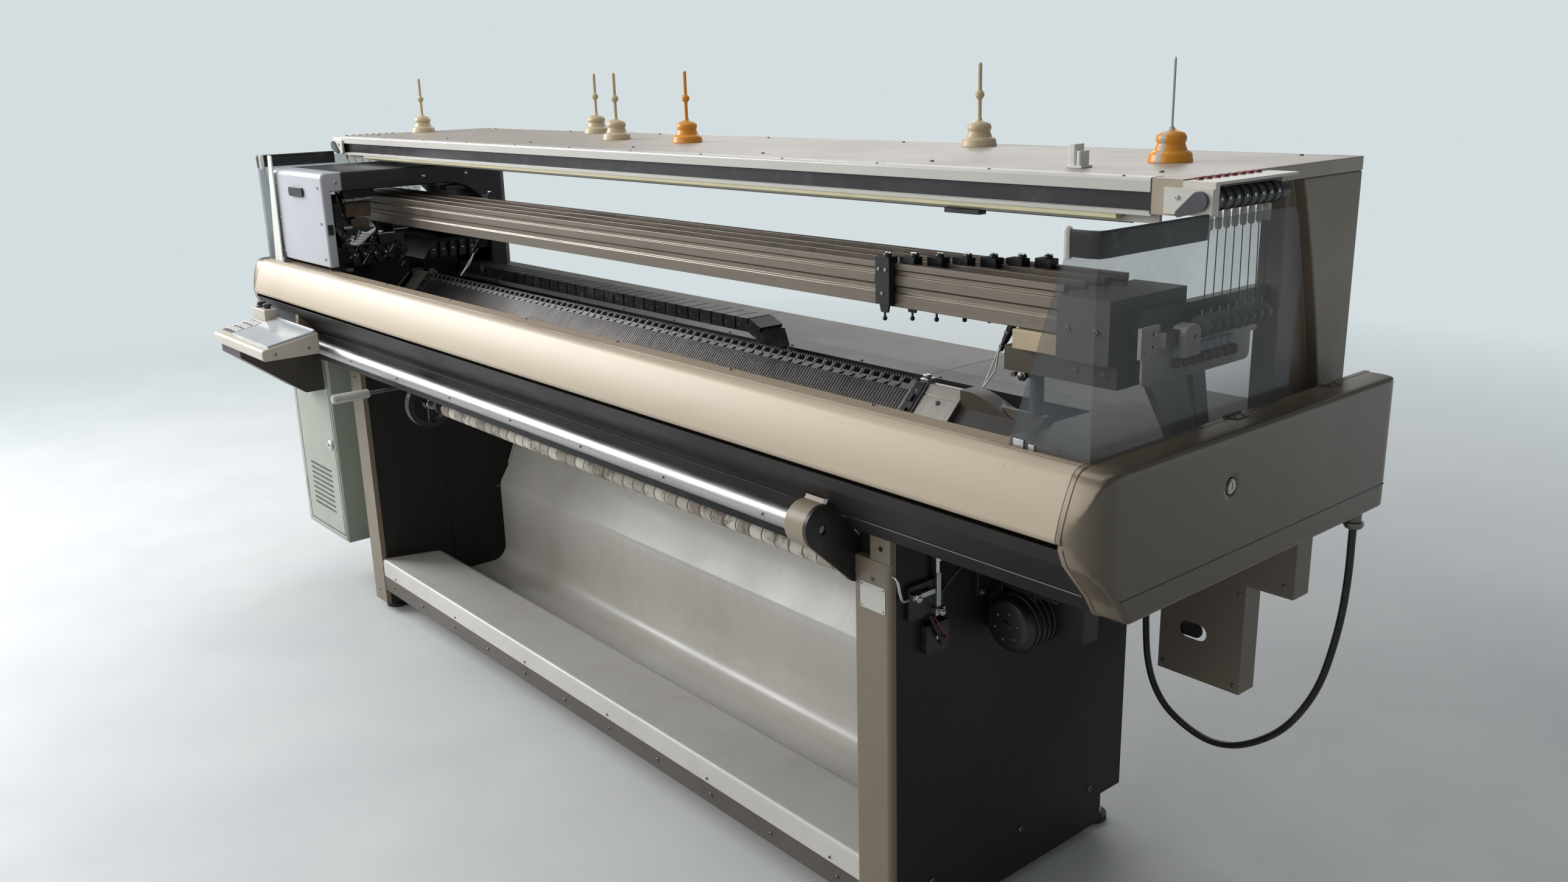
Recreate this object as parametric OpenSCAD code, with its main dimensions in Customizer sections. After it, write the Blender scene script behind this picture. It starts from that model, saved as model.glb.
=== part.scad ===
/* [Legs and frame] */
// Clear width between the two legs
leg_gap = 2010; // [1800:2:2100]
// Width of each leg seen from the front
leg_w = 80; // [60:1:90]
// Depth of each leg from front to back
leg_depth = 654; // [600:1:680]
// Height of each leg without its feet
leg_h = 760; // [700:1:800]
// Distance from the knitting mouth forward to the front of the legs
leg_front = 221; // [212:1:230]
// Height of the levelling feet
foot_h = 20; // [12:1:40]
// Radius of the levelling feet
foot_r = 30; // [20:1:36]
// Depth of the main beam behind the mouth
beam_back = 300; // [260:1:340]

/* [Covers] */
// Room between the parked carriage and the left end cover
end_room = 90; // [85:1:140]
// Length of each end cap along the machine
cap_len = 57; // [50:1:70]
// Depth of the machine behind the knitting mouth
rear_depth = 480; // [470:1:490]
// Height of the apron top above the leg tops
apron_rise = 220; // [216:1:226]
// Distance from the mouth forward to the lower edge of the apron
apron_front = 320; // [314:1:326]
// Distance from the mouth forward to the rear edge of the apron top
apron_back = 231; // [226:1:238]
// Height of the apron face
apron_face_h = 98; // [90:1:104]
// Wall thickness of the apron moulding
apron_wall = 4; // [2:0.5:6]
// Thickness of the sheet metal covers
sheet_t = 3; // [1.5:0.5:4]
// Height of the rear cover above the leg tops
rear_rise = 137; // [125:1:140]
// Distance from the mouth back to the front edge of the rear cover
rear_lip = 215; // [208:1:222]
// Radius of the turn locks on the end caps
lock_r = 11; // [8:0.5:14]

/* [Needle beds] */
// Length of each needle bed
bed_len = 1874; // [1400:2:1900]
// Height of the knitting mouth above the leg tops
mouth_rise = 197; // [192:1:202]
// Gap between the two needle beds at the mouth
mouth_gap = 10; // [6:1:14]
// Length of each needle bed plate down its slope
bed_slope = 170; // [150:1:180]
// Thickness of each needle bed plate
bed_t = 19; // [14:1:19]
// Pitch of the needle slots that the model shows
slot_pitch = 7.25; // [6:0.25:12]
// Width of one needle slot
slot_w = 3; // [1.5:0.25:4]
// Depth of one needle slot
slot_depth = 3; // [1.5:0.25:5]
// Pitch of the sinker blocks along the mouth
sinker_pitch = 29; // [20:0.5:40]
// Length of the end blocks beside the beds
end_block_len = 81; // [60:1:100]

/* [Yarn rails and carriers] */
// Spacing of the yarn rails from front to back
rail_pitch = 48; // [46:1:52]
// Thickness of one yarn rail
rail_t = 14; // [10:1:15]
// Height of one yarn rail
rail_h = 72; // [60:1:76]
// Height of the rail undersides above the mouth
rail_rise = 141; // [136:1:150]
// Length of one yarn carrier along its rail
carrier_len = 32; // [20:1:34]
// Distance from the needle bed end to the first parked yarn carrier
park_gap = 3; // [0:1:5]
// Spacing of the parked yarn carriers
carrier_pitch = 36; // [35:1:37]
// Distance from the left end of the beds to the yarn carrier parked there
left_carrier_inset = 197; // [150:1:340]
// Running gap between a carrier and its rail
carrier_gap = 0.6; // [0.3:0.1:1]

/* [Carriage] */
// Length of the carriage along the machine
carriage_len = 360; // [300:1:380]
// Distance from the end of the needle beds to the parked carriage
carriage_gap = 98; // [85:1:110]
// Height of the arch underside above the yarn rails
arch_clear = 25; // [20:1:32]
// Height of the arch beam over the yarn rails
arch_beam_h = 51; // [40:1:55]
// Distance from the mouth forward to the carriage front
carriage_front = 255; // [245:1:256]
// Distance from the mouth back to the carriage rear
carriage_rear = 282; // [276:1:290]
// Running gap between the cam boxes and the needle beds
cam_gap = 14; // [12:1:18]

/* [Cable chain] */
// Length of the chain run from the carriage to its bend
chain_run = 1320; // [900:5:1500]
// Width of one chain link
chain_w = 62; // [40:1:70]
// Height of one chain link
chain_h = 30; // [24:1:34]
// Pitch of the chain links
chain_pitch = 44; // [36:1:60]

/* [Yarn table] */
// Height of the table top above the leg tops
table_rise = 563; // [556:1:580]
// Distance from each end cover inwards to the end of the yarn table
table_inset = 35; // [30:1:45]
// Distance from the mouth back to the table front edge
table_front = 8; // [0:1:20]
// Thickness of the table plate
table_t = 22; // [16:1:28]
// Thickness of the upright columns
column_t = 62; // [40:1:68]
// Height of one cone holder
cone_h = 160; // [130:1:200]
// Radius of the cone holder base
cone_r = 35; // [28:1:40]

/* [Side windows] */
// Thickness of the clear window sheet
window_t = 4; // [3:0.5:6]
// Width of the window front at its foot
window_front_w = 132; // [110:1:150]
// Distance from the mouth back to the window rear edge
window_rear = 238; // [200:1:245]

/* [Control bar and take down] */
// Width of the control bar seen from the front
bar_w = 38; // [30:1:42]
// Length of the control bar
bar_len = 2140; // [1900:5:2150]
// Forward distance of the control bar from the mouth
bar_front = 290; // [286:1:296]
// Height of the bar axis above the leg tops
bar_rise = 12; // [6:1:18]
// Radius of the take down roller
roller_r = 17; // [14:0.5:20]
// Length of the take down roller
roller_len = 1480; // [1200:5:1500]
// Forward distance of the roller axis from the mouth
roller_front = 214; // [210:1:218]
// Depth of the roller axis below the leg tops
roller_drop = 74; // [72:1:80]
// Radius of the roller handwheel
wheel_r = 62; // [50:1:64]

/* [Cloth receiver] */
// Thickness of the receiver sheet
receiver_t = 2.5; // [1.5:0.5:4]
// Height of the receiver lip above the floor
lip_z = 164; // [150:1:180]

/* [Console and cabinet] */
// Width of the console
console_w = 395; // [340:1:400]
// Depth of the console from front to back
console_depth = 155; // [140:1:156]
// Height of the console body at its rear
console_h = 58; // [45:1:70]
// Width of the control cabinet beside the left leg
cabinet_w = 310; // [260:1:330]
// Height of the control cabinet
cabinet_h = 610; // [520:1:640]

/* [Hidden] */
$fn = 48;

// Heights that the pieces share
leg_top = foot_h + leg_h;
apron_z = leg_top + apron_rise;
mouth_z = leg_top + mouth_rise;
rear_z = leg_top + rear_rise;
rail_z = mouth_z + rail_rise;
rail_top = rail_z + rail_h;
arch_z = rail_top + arch_clear;
arch_top = arch_z + arch_beam_h;
table_z = leg_top + table_rise;
table_low = table_z - table_t;
bar_z = leg_top + bar_rise;
roller_z = leg_top - roller_drop;

// Places along the machine
leg_in = leg_gap / 2;
leg_out = leg_in + leg_w;
half_bed = bed_len / 2;
carriage_right = -half_bed - carriage_gap;
seam_x = half_bed + carriage_gap + carriage_len + end_room;
half_len = seam_x + cap_len;
half_table = seam_x - table_inset;
rail_x1 = seam_x - 185;
gib_len = 29;
block_end = half_bed + gib_len + end_block_len;

// Places from front to back, counted from the knitting mouth
leg_back = leg_depth - leg_front;
crest = mouth_gap / 2;
bed_fit = 0.2;
bed_low = [crest + bed_slope * cos(45), mouth_z - bed_slope * sin(45)];
bed_back = bed_t * sin(45);

// Clearances
run_fit = 0.05;
seat = 0.3;

// Extrudes a front to back profile along the machine
module along_x(x0, x1) {
    translate([x0, 0, 0]) rotate([90, 0, 90]) linear_extrude(x1 - x0) children();
}

// Extrudes a profile seen from the front from y0 back to y1
module along_y(y0, y1) {
    translate([0, y1, 0]) rotate([90, 0, 0]) linear_extrude(y1 - y0) children();
}

// Extrudes a plan outline upwards
module along_z(z0, z1) {
    translate([0, 0, z0]) linear_extrude(z1 - z0) children();
}

// Cylinder along the machine with its axis at y and z
module rod_x(x0, x1, y, z, r) {
    translate([x0, y, z]) rotate([0, 90, 0]) cylinder(r = r, h = x1 - x0);
}

// Cylinder from front to back with its axis at x and z
module rod_y(y0, y1, x, z, r) {
    translate([x, y0, z]) rotate([-90, 0, 0]) cylinder(r = r, h = y1 - y0);
}

// Straight round rod between two points
module rod_between(a, b, r) {
    d = b - a;
    translate(a) rotate([0, acos(d[2] / norm(d)), atan2(d[1], d[0])]) cylinder(r = r, h = norm(d), $fn = 16);
}

// Block between two opposite corners
module block(a, b) {
    translate(a) cube(b - a);
}

// Mirrors its children to the left end where the side is negative
module at_side(side) {
    mirror([side < 0 ? 1 : 0, 0, 0]) children();
}

// Mirrors its children to the rear of the mouth where the side is positive
module facing(side) {
    mirror([0, side > 0 ? 1 : 0, 0]) children();
}

// Unit direction at an angle
function dir(a) = [cos(a), sin(a)];

// Points of an arc about a centre
function arc(c, r, a0, a1, n = 6) = [for (i = [0:n]) c + r * dir(a0 + (a1 - a0) * i / n)];

// Unit normal to the left of the direction from p to q
function side_of(p, q) = [p[1] - q[1], q[0] - p[0]] / norm(q - p);

// Offset of point i that keeps both neighbouring walls at unit thickness
function miter(p, i) = let(
    a = i > 0 ? side_of(p[i - 1], p[i]) : side_of(p[0], p[1]),
    b = i < len(p) - 1 ? side_of(p[i], p[i + 1]) : a
) (a + b) / (1 + a * b);

// Closed outline of a sheet of thickness t to the left of an open line
function sheet(p, t) = concat(p, [for (i = [len(p) - 1:-1:0]) p[i] + t * miter(p, i)]);

// Leg housing with a panel seam inside and a cut-out over the rear foot
trim_t = 14;
leg_notch = 62;
panel_seam = 4;
module leg(side) {
    color("#3a3736") at_side(side) difference() {
        block([leg_in, -leg_front + trim_t, foot_h], [leg_out, leg_back, leg_top]);
        block([leg_in - 1, leg_back - leg_notch, foot_h - 1], [leg_out + 1, leg_back + 1, foot_h + leg_notch]);
        block([leg_in - 1, panel_seam, foot_h + 70], [leg_in + 2, panel_seam + 2.5, leg_top - 60]);
    }
}

module left_leg() {
    leg(-1);
}

module right_leg() {
    leg(1);
}

// Front strips of the legs, the plates above them and the rail under the receiver lip
trim_drop = 46;
trim_corner = 9;
skirt_z = 70;
skirt_h = 44;
module front_trims() {
    color("#9c907f") for (side = [-1, 1]) at_side(side) {
        along_z(foot_h + 6, leg_top - trim_drop) polygon(concat(
            [[leg_in, -leg_front + trim_t], [leg_in, -leg_front]],
            arc([leg_out - trim_corner, -leg_front + trim_corner], trim_corner, -90, 0),
            [[leg_out, -leg_front + trim_t]]));
        difference() {
            block([leg_out - 46, -leg_front + 1, leg_top - trim_drop],
                [leg_out, -leg_front + trim_t, leg_top]);
            rod_y(-leg_front, -leg_front + trim_t + 1, leg_out - 22, leg_top - trim_drop / 2, 5);
        }
    }
    color("#6f6253")
        block([-leg_in, -leg_front + 2, skirt_z], [leg_in, -leg_front + trim_t, skirt_z + skirt_h]);
}

// Levelling feet with their studs
foot_inset = 34;
module levelling_feet() {
    color("#2b2b2b") for (side = [-1, 1], y = [-leg_front + foot_inset + trim_t, leg_back - foot_inset])
        translate([side * (leg_in + leg_w / 2), y, 0]) {
            cylinder(r = foot_r, h = foot_h * 0.6);
            cylinder(r = foot_r * 0.45, h = foot_h + (y > 0 ? leg_notch : 0));
        }
}

// Half of the main beam with the sloping seat of one needle bed
beam_front = 190;
mouth_well = 35;
module beam_half(side, depth) {
    facing(side) along_x(-half_bed, half_bed) polygon([
        [-depth, leg_top], [-mouth_well, leg_top],
        [-mouth_well, bed_low[1] - bed_back - bed_fit + (bed_low[0] - bed_back - mouth_well)],
        [-bed_low[0] + bed_back, bed_low[1] - bed_back - bed_fit], [-bed_low[0] - bed_fit, bed_low[1]],
        [-depth, bed_low[1]]]);
}

// Main beam that ties the legs together, open below the knitting mouth
module main_beam() {
    color("#33302f") {
        beam_half(-1, beam_front);
        beam_half(1, beam_back);
        for (side = [-1, 1]) at_side(side)
            block([half_bed, -beam_front, leg_top], [seam_x - 1, beam_back, bed_low[1]]);
    }
}

// Lower front cover between the apron and the legs
panel_top = [-apron_front + 6, leg_top + 114];
panel_bend = [-apron_front + 17, leg_top + 90];
panel_knee = [-apron_front + 65, leg_top + 34];
panel_foot = [-leg_front - 7, leg_top];
panel_line = [panel_top, panel_bend, panel_knee, panel_foot, [-beam_front, leg_top]];
module under_panel() {
    color("#46423f") along_x(-seam_x, seam_x) polygon(sheet(panel_line, sheet_t));
}

// Outer line of the apron face, from its top corner to its rounded lower edge
top_r = 26;
face_r = 300;
edge_r = 8;
face_a0 = 151;
face_a1 = 180 - asin(sin(face_a0) - (apron_face_h - top_r * (1 - sin(face_a0)) - edge_r * 1.24) / face_r);
face_step = face_r * (dir(face_a1) - dir(face_a0));
top_c = [-apron_front + edge_r * (1 + cos(face_a1)) - face_step[0] - top_r * cos(face_a0), apron_z - top_r];
face_c = top_c + (top_r - face_r) * dir(face_a0);
edge_c = face_c + (face_r - edge_r) * dir(face_a1);
face_line = concat(arc(top_c, top_r, 90, face_a0, 9), arc(face_c, face_r, face_a0 + 2, face_a1 - 2, 5),
    arc(edge_c, edge_r, face_a1, 262, 8));

// Long front apron, one moulding with a groove along its top
groove_w = 5;
module front_apron() {
    color("#c4b39c") difference() {
        along_x(-seam_x, seam_x) polygon(sheet(concat(
            [[-apron_back, apron_z - 22], [-apron_back, apron_z]], face_line), apron_wall));
        block([-seam_x - 1, top_c[0] - groove_w, apron_z - 1.5], [seam_x + 1, top_c[0], apron_z + 1]);
    }
}

// Rear cover with a lip behind the cable chain
module rear_cover() {
    color("#4a4643") along_x(-seam_x, seam_x) polygon(sheet([[beam_back, leg_top], [rear_depth, leg_top],
        [rear_depth, rear_z], [rear_lip, rear_z], [rear_lip, rear_z - 50]], sheet_t));
}

// End cap with rounded corners and a bore for its turn lock
lock_z = leg_top + 142;
lock_depth = 20;
module cap_shape() {
    intersection() {
        along_x(seam_x, half_len) polygon(concat(
            [[rear_depth, apron_z]], face_line,
            [panel_top, panel_bend, panel_knee], arc(panel_foot + [0, 10], 10, 216, 270, 4),
            [[rear_depth, leg_top]]));
        along_z(leg_top - 1, apron_z + 1) polygon(concat(
            [[seam_x, -apron_front - 1]],
            arc([seam_x, -apron_front + cap_len], cap_len, -90, 0, 18),
            arc([half_len - 20, rear_depth - 20], 20, 0, 90, 8), [[seam_x, rear_depth]]));
    }
}

module end_cap(side) {
    color("#8d7d6a") at_side(side) difference() {
        cap_shape();
        rod_x(half_len - lock_depth, half_len + 1, 0, lock_z, lock_r + run_fit);
        block([half_len - 1.5, -apron_front, leg_top + 40], [half_len + 1, rear_depth + 1, leg_top + 42]);
    }
}

module left_end_cap() {
    end_cap(-1);
}

module right_end_cap() {
    end_cap(1);
}

// Turn lock in an end cap
module cap_lock(side) {
    color("#8a8a88") at_side(side) difference() {
        union() {
            rod_x(half_len - lock_depth + seat, half_len - 2, 0, lock_z, lock_r);
            rod_x(half_len - 3, half_len - seat, 0, lock_z, lock_r - 2);
        }
        block([half_len - 4, -1, lock_z - 6], [half_len + 1, 1, lock_z + 6]);
    }
}

module left_cap_lock() {
    cap_lock(-1);
}

module right_cap_lock() {
    cap_lock(1);
}

// Places its children on the slope of the front bed: X along it, Y up the slope, Z out of it
module on_slope() {
    translate([0, -crest, mouth_z]) rotate([45, 0, 0]) children();
}

// Needle bed plate with its row of needle slots
strip_w = 20;
slots = floor((bed_len - slot_pitch) / slot_pitch);
function slot_outline(i) = let(x = (i - (slots - 1) / 2) * slot_pitch)
    [[x - slot_w / 2, 0], [x - slot_w / 2, -slot_depth], [x + slot_w / 2, -slot_depth], [x + slot_w / 2, 0]];
module needle_bed(side) {
    color("#5d5f63") facing(side) on_slope() translate([0, -strip_w, 0]) rotate([90, 0, 0])
        linear_extrude(bed_slope - strip_w) polygon(concat(
            [[-half_bed, 0]], [for (i = [0:slots - 1]) each slot_outline(i)],
            [[half_bed, 0], [half_bed, -bed_t], [-half_bed, -bed_t]]));
}

module front_needle_bed() {
    needle_bed(-1);
}

module rear_needle_bed() {
    needle_bed(1);
}

// Strip along the mouth with a row of wedge shaped sinker recesses and an end gib
sinkers = floor((bed_len - 20) / sinker_pitch);
wedge_l = 15;
wedge_h = 9;
module sinker_strip(side) {
    color("#3c3c40") facing(side) {
        difference() {
            along_x(-half_bed, half_bed) polygon([
                [-crest, mouth_z], [-crest - strip_w * sin(45), mouth_z - strip_w * sin(45)],
                [-crest - strip_w * sin(45) + bed_back, mouth_z - strip_w * sin(45) - bed_back],
                [-crest, mouth_z - 2 * bed_back]]);
            for (i = [0:sinkers - 1]) on_slope()
                translate([(i - (sinkers - 1) / 2) * sinker_pitch, -strip_w - 1, -4]) linear_extrude(5)
                    polygon([[-wedge_l / 2, 0], [wedge_l / 2, 0], [wedge_l / 2, wedge_h + 1]]);
        }
        for (x = [-half_bed - gib_len, half_bed + 1]) on_slope()
            translate([x, -84, -8]) cube([gib_len - 1, 80, 8 + 3]);
    }
}

module front_sinker_strip() {
    sinker_strip(-1);
}

module rear_sinker_strip() {
    sinker_strip(1);
}

// Roof shaped blocks that carry the bed level past both ends of the needle beds
module roof(x0, x1, drop) {
    along_x(x0, x1) polygon([
        [-bed_low[0] + drop, bed_low[1]], [-crest, mouth_z - drop], [crest, mouth_z - drop],
        [bed_low[0] - drop, bed_low[1]]]);
}

module bed_end_blocks() {
    color("#a9a7a2") for (side = [-1, 1]) at_side(side) difference() {
        union() {
            roof(half_bed + gib_len, block_end, 0);
            roof(half_bed, half_bed + gib_len, 8 * sqrt(2));
        }
        for (f = [-1, 1]) facing(f) on_slope()
            translate([half_bed + gib_len - 1, -24, -1.5]) cube([end_block_len + 2, 2, 3]);
    }
}

// Dark guards between the end blocks and the end caps, with a raised fin over the mouth
guard_start = [seam_x - 85, rail_x1 - 85];
guard_drop = 14;
deck_z = mouth_z - 27;
fin_top = mouth_z + 4;
fin_len = guard_start[1] - block_end - 50;
fin_half = crest + 13;
module end_guards() {
    color("#2c2a2a") for (i = [0, 1]) at_side(i == 0 ? -1 : 1) {
        roof(block_end, guard_start[i], guard_drop);
        block([guard_start[i], -apron_back + 2, bed_low[1]], [seam_x - 1, rear_lip - 2, deck_z]);
        along_y(-fin_half, fin_half) polygon(concat(
            [[block_end, mouth_z - 30], [block_end, fin_top], [block_end + 14, fin_top]],
            [for (t = [1:12])
                [block_end + 14 + fin_len * t / 12, deck_z + (fin_top - deck_z) * (1 + cos(15 * t)) / 2]],
            [[guard_start[i] + 1, deck_z], [guard_start[i] + 1, mouth_z - 30]]));
    }
}

// Yarn rails with two grooves on each face
rail_x0 = carriage_right - carriage_len - 2;
groove_d = 3;
rails = 4;
function rail_y(i) = (i - (rails - 1) / 2) * rail_pitch;
function rail_face(s) = [
    [s * rail_t / 2, 0], [s * rail_t / 2, rail_h * 0.3], [s * (rail_t / 2 - groove_d), rail_h * 0.34],
    [s * (rail_t / 2 - groove_d), rail_h * 0.46], [s * rail_t / 2, rail_h * 0.5],
    [s * rail_t / 2, rail_h * 0.72], [s * (rail_t / 2 - groove_d), rail_h * 0.75],
    [s * (rail_t / 2 - groove_d), rail_h * 0.83], [s * rail_t / 2, rail_h * 0.86], [s * rail_t / 2, rail_h]];
module yarn_rails() {
    color("#8d8378") for (i = [0:rails - 1]) translate([0, rail_y(i), rail_z])
        along_x(rail_x0, rail_x1) polygon(concat(rail_face(1), [for (j = [9:-1:0]) rail_face(-1)[j]]));
}

// Brackets that hold the rail ends, with their arms to the columns and the right post
bracket_half = 1.5 * rail_pitch + rail_t / 2 + 14;
bracket_low = rail_z - 33;
shelf_low = bracket_low - 38;
post_x = rail_x1 - 107;
post_r = 9;
arm_t = 14;
module rail_brackets() {
    color("#26262a") {
        block([rail_x1, -bracket_half, bracket_low], [rail_x1 + 92, bracket_half, rail_top - 12]);
        block([rail_x1 + 92, -40, rail_z], [rail_x1 + 110, column_front, rail_z + 40]);
        block([rail_x0 - arm_t, -bracket_half, bracket_low], [rail_x0, bracket_half, rail_top - 12]);
        block([rail_x0 - arm_t, bracket_half, rail_z], [rail_x0, column_front, rail_z + 40]);
    }
    color("#a08b72") {
        block([post_x - post_r, -70, shelf_low], [rail_x1 + 92, 70, bracket_low]);
        along_z(mouth_z - guard_drop, shelf_low) translate([post_x, 0]) circle(r = post_r);
    }
}

// Yarn carrier that hooks over one face of its rail, with a stop pin and perhaps a feeder
carrier_cover = 13;
tip_z = mouth_z + 10;
function carrier_x(n) = n == 8 ? left_carrier_inset - half_bed : half_bed + park_gap + (n - 1) * carrier_pitch;
function carrier_rail(n) = floor((n - 1) / 2);
function carrier_face(n) = (n % 2 == 1) ? -1 : 1;
module yarn_carrier(n) {
    s = carrier_face(n);
    y0 = rail_t / 2 + carrier_gap;
    pin_y = s * (y0 + carrier_cover / 2);
    color("#1e1e20") translate([carrier_x(n), rail_y(carrier_rail(n)), 0]) {
        mirror([0, s < 0 ? 1 : 0, 0]) {
            block([-carrier_len / 2, 0.5, rail_top + carrier_gap],
                [carrier_len / 2, y0 + carrier_cover, rail_top + 11]);
            block([-carrier_len / 2, y0, rail_z + 4], [carrier_len / 2, y0 + carrier_cover, rail_top + 2]);
        }
        translate([0, pin_y, rail_z - 18]) cylinder(r = 2, h = 24, $fn = 16);
        translate([0, pin_y, rail_z - 20]) sphere(r = 4, $fn = 16);
    }
    if (n == 6 || n == 8)
        color("#d8d8d2") feeder([carrier_x(n), rail_y(carrier_rail(n)) + pin_y, rail_z + 5]);
}

// Feeder arm that slants down to the mouth and ends in a fork
module feeder(from) {
    tip = [from[0] - 39, 0, tip_z];
    knee = from + (tip - from) * 0.55;
    rod_between(from + [8, 0, 0], knee, 3);
    rod_between(knee + [0, 0, 2], tip, 1.6);
    rod_between(knee + [0, 0, 2], (knee + tip) / 2 + [10, 0, 0], 1.6);
    rod_between((knee + tip) / 2 + [10, 0, 0], tip, 1.4);
}

module yarn_carrier_1() { yarn_carrier(1); }
module yarn_carrier_2() { yarn_carrier(2); }
module yarn_carrier_3() { yarn_carrier(3); }
module yarn_carrier_4() { yarn_carrier(4); }
module yarn_carrier_5() { yarn_carrier(5); }
module yarn_carrier_6() { yarn_carrier(6); }
module yarn_carrier_7() { yarn_carrier(7); }
module yarn_carrier_8() { yarn_carrier(8); }

// Carriage that bridges the rails: light front cover, dark arch and two cam boxes
carriage_left = carriage_right - carriage_len;
cover_t = 26;
cover_low = apron_z + 12;
leg_inner = carriage_rear - 50;
cam_top = apron_z + 60;
cam_edge = crest + 17;
cam_low = 112;
function over_bed(y) = mouth_z + crest - y + cam_gap;
module carriage_front_cover() {
    color("#c9cbd0") along_x(carriage_left, carriage_right) polygon(concat(
        [[-carriage_front, cover_low], [-carriage_front + cover_t, cover_low],
        [-carriage_front + cover_t, arch_z], [-carriage_front + 58, arch_z], [-carriage_front + 58, arch_top]],
        arc([-carriage_front + 16, arch_top - 16], 16, 90, 180)));
}

module carriage_arch() {
    color("#39383c") along_x(carriage_left, carriage_right) polygon(concat(
        [[-carriage_front + 58, arch_z], [carriage_rear - 180, arch_z]],
        [for (a = [0:15:90]) [carriage_rear - 180 + 130 * sin(a), arch_z - 105 * (1 - cos(a))]],
        [[leg_inner, rear_z + 32], [carriage_rear, rear_z + 32]],
        arc([carriage_rear - 26, arch_top - 26], 26, 0, 90), [[-carriage_front + 58, arch_top]]));
}

module cam_box(outer, low) {
    along_x(carriage_left + 12, carriage_right - 12) polygon([
        [-cam_edge, over_bed(cam_edge)], [-cam_low, over_bed(cam_low)],
        [-cam_low - 12, over_bed(cam_low) + 12], [-cam_low - 12, low], [-outer, low], [-outer, cam_top],
        [-cam_edge - 40, cam_top], [-cam_edge, over_bed(cam_edge) + 32]]);
}

module carriage_front_cam() {
    color("#2a2a2e") cam_box(carriage_front - cover_t, cover_low + 6);
}

module carriage_rear_cam() {
    color("#2a2a2e") {
        facing(1) cam_box(leg_inner, cover_low + 6);
        block([carriage_left + 20, chain_y + 6, chain_top + seat],
            [carriage_left + 80, chain_y + chain_w - 6, cover_low + 8]);
    }
}

// Cable chain that lies behind the rear bed and folds back under itself
chain_y = bed_low[0] + 7;
chain_low = bed_low[1] + seat;
chain_top = cover_low - 26;
bend_r = (chain_top - chain_low - chain_h) / 2;
bend_x = carriage_right + 12 + chain_run;
chain_mid = (chain_top + chain_low) / 2;
fold_len = 620;
bend_steps = ceil(PI * bend_r / chain_pitch);
link_half = chain_pitch / 2 - 2;
bend_out = bend_r + chain_h / 2;
link_inset = norm([bend_out, link_half]) - bend_out;
module chain_link() {
    block([-link_half, 0, -chain_h / 2], [link_half, chain_w, chain_h / 2]);
}

module cable_chain() {
    color("#17171a") {
        for (x = [bend_x - chain_pitch / 2:-chain_pitch:carriage_left + 20])
            translate([x, chain_y, chain_top - chain_h / 2]) chain_link();
        for (x = [bend_x - chain_pitch / 2:-chain_pitch:bend_x - fold_len])
            translate([x, chain_y, chain_low + chain_h / 2]) chain_link();
        for (i = [0:bend_steps - 1])
            translate([bend_x, chain_y, chain_mid]) rotate([0, (i + 0.5) * 180 / bend_steps, 0])
                translate([0, 0, bend_r - link_inset]) chain_link();
        block([carriage_left + 10, chain_y + 5, chain_top - chain_h + 4],
            [bend_x, chain_y + chain_w - 5, chain_top - 4]);
        block([bend_x - fold_len - 10, chain_y + 5, chain_low + 4],
            [bend_x, chain_y + chain_w - 5, chain_low + chain_h - 4]);
        translate([bend_x, chain_y + 5, chain_mid]) rotate([-90, 0, 0]) difference() {
            cylinder(r = bend_out - 4, h = chain_w - 10);
            translate([0, 0, -1]) cylinder(r = bend_r - chain_h / 2 + 4, h = chain_w);
            translate([-bend_out, -bend_out, -1]) cube([bend_out, 2 * bend_out, chain_w]);
        }
    }
}

// Yarn table, a tray that is open below
tray_wall = 4;
tray_side = column_t + 8;
tray_rim = 24;
module yarn_table() {
    color("#d9d2c3") difference() {
        block([-half_table, table_front, table_low], [half_table, rear_depth, table_z]);
        block([-half_table + tray_side, table_front + tray_rim, table_low - 1],
            [half_table - tray_side, rear_depth - tray_rim, table_z - tray_wall]);
    }
}

// Front rail of the table: white nose, dark track below it and the rail of the slider
nose_h = 20;
track_h = 27;
slide_x0 = 150 - half_table;
slide_x1 = half_table - 110;
rail_end = 50;
nose_y = table_front - 30;
module table_front_rail() {
    color("#e4e2dc") along_x(-half_table, half_table - rail_end) polygon(concat(
        arc([table_front - 25, table_z - 5], 5, 90, 180, 4),
        [[nose_y, table_z - nose_h], [table_front - 20, table_z - nose_h],
        [table_front - 20, table_z - nose_h - track_h], [table_front - 28, table_z - nose_h - track_h],
        [table_front - 28, table_z - nose_h - track_h - 6], [table_front - 6, table_z - nose_h - track_h - 6],
        [table_front - 6, table_z - nose_h - track_h - 19], [table_front, table_z - nose_h - track_h - 19],
        [table_front, table_z]]));
    color("#c8b9a3") block([half_table - rail_end, nose_y, table_z - 50], [half_table, table_front, table_z]);
}

// Lamp strip under the front rail
lamp_h = 9;
lamp_top = table_z - nose_h - track_h - 6;
module lamp_strip() {
    color("#e6dda8") along_x(slide_x0, slide_x1) polygon([
        [table_front - 26, lamp_top], [table_front - 24, lamp_top - lamp_h + 2],
        [table_front - 20, lamp_top - lamp_h], [table_front - 10, lamp_top - lamp_h], [table_front - 10, lamp_top]]);
}

// Slider of the front hood, which hangs on the rail behind the lamp
slider_x = half_table - 455;
slider_len = 75;
module hood_slider() {
    color("#1c1c1e") along_x(slider_x, slider_x + slider_len) polygon([
        [table_front - 12, lamp_top - 21], [table_front + 6, lamp_top - 21], [table_front + 6, lamp_top - 2],
        [table_front + seat, lamp_top - 2], [table_front + seat, lamp_top - 13 - seat],
        [table_front - 12, lamp_top - 13 - seat]]);
}

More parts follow.
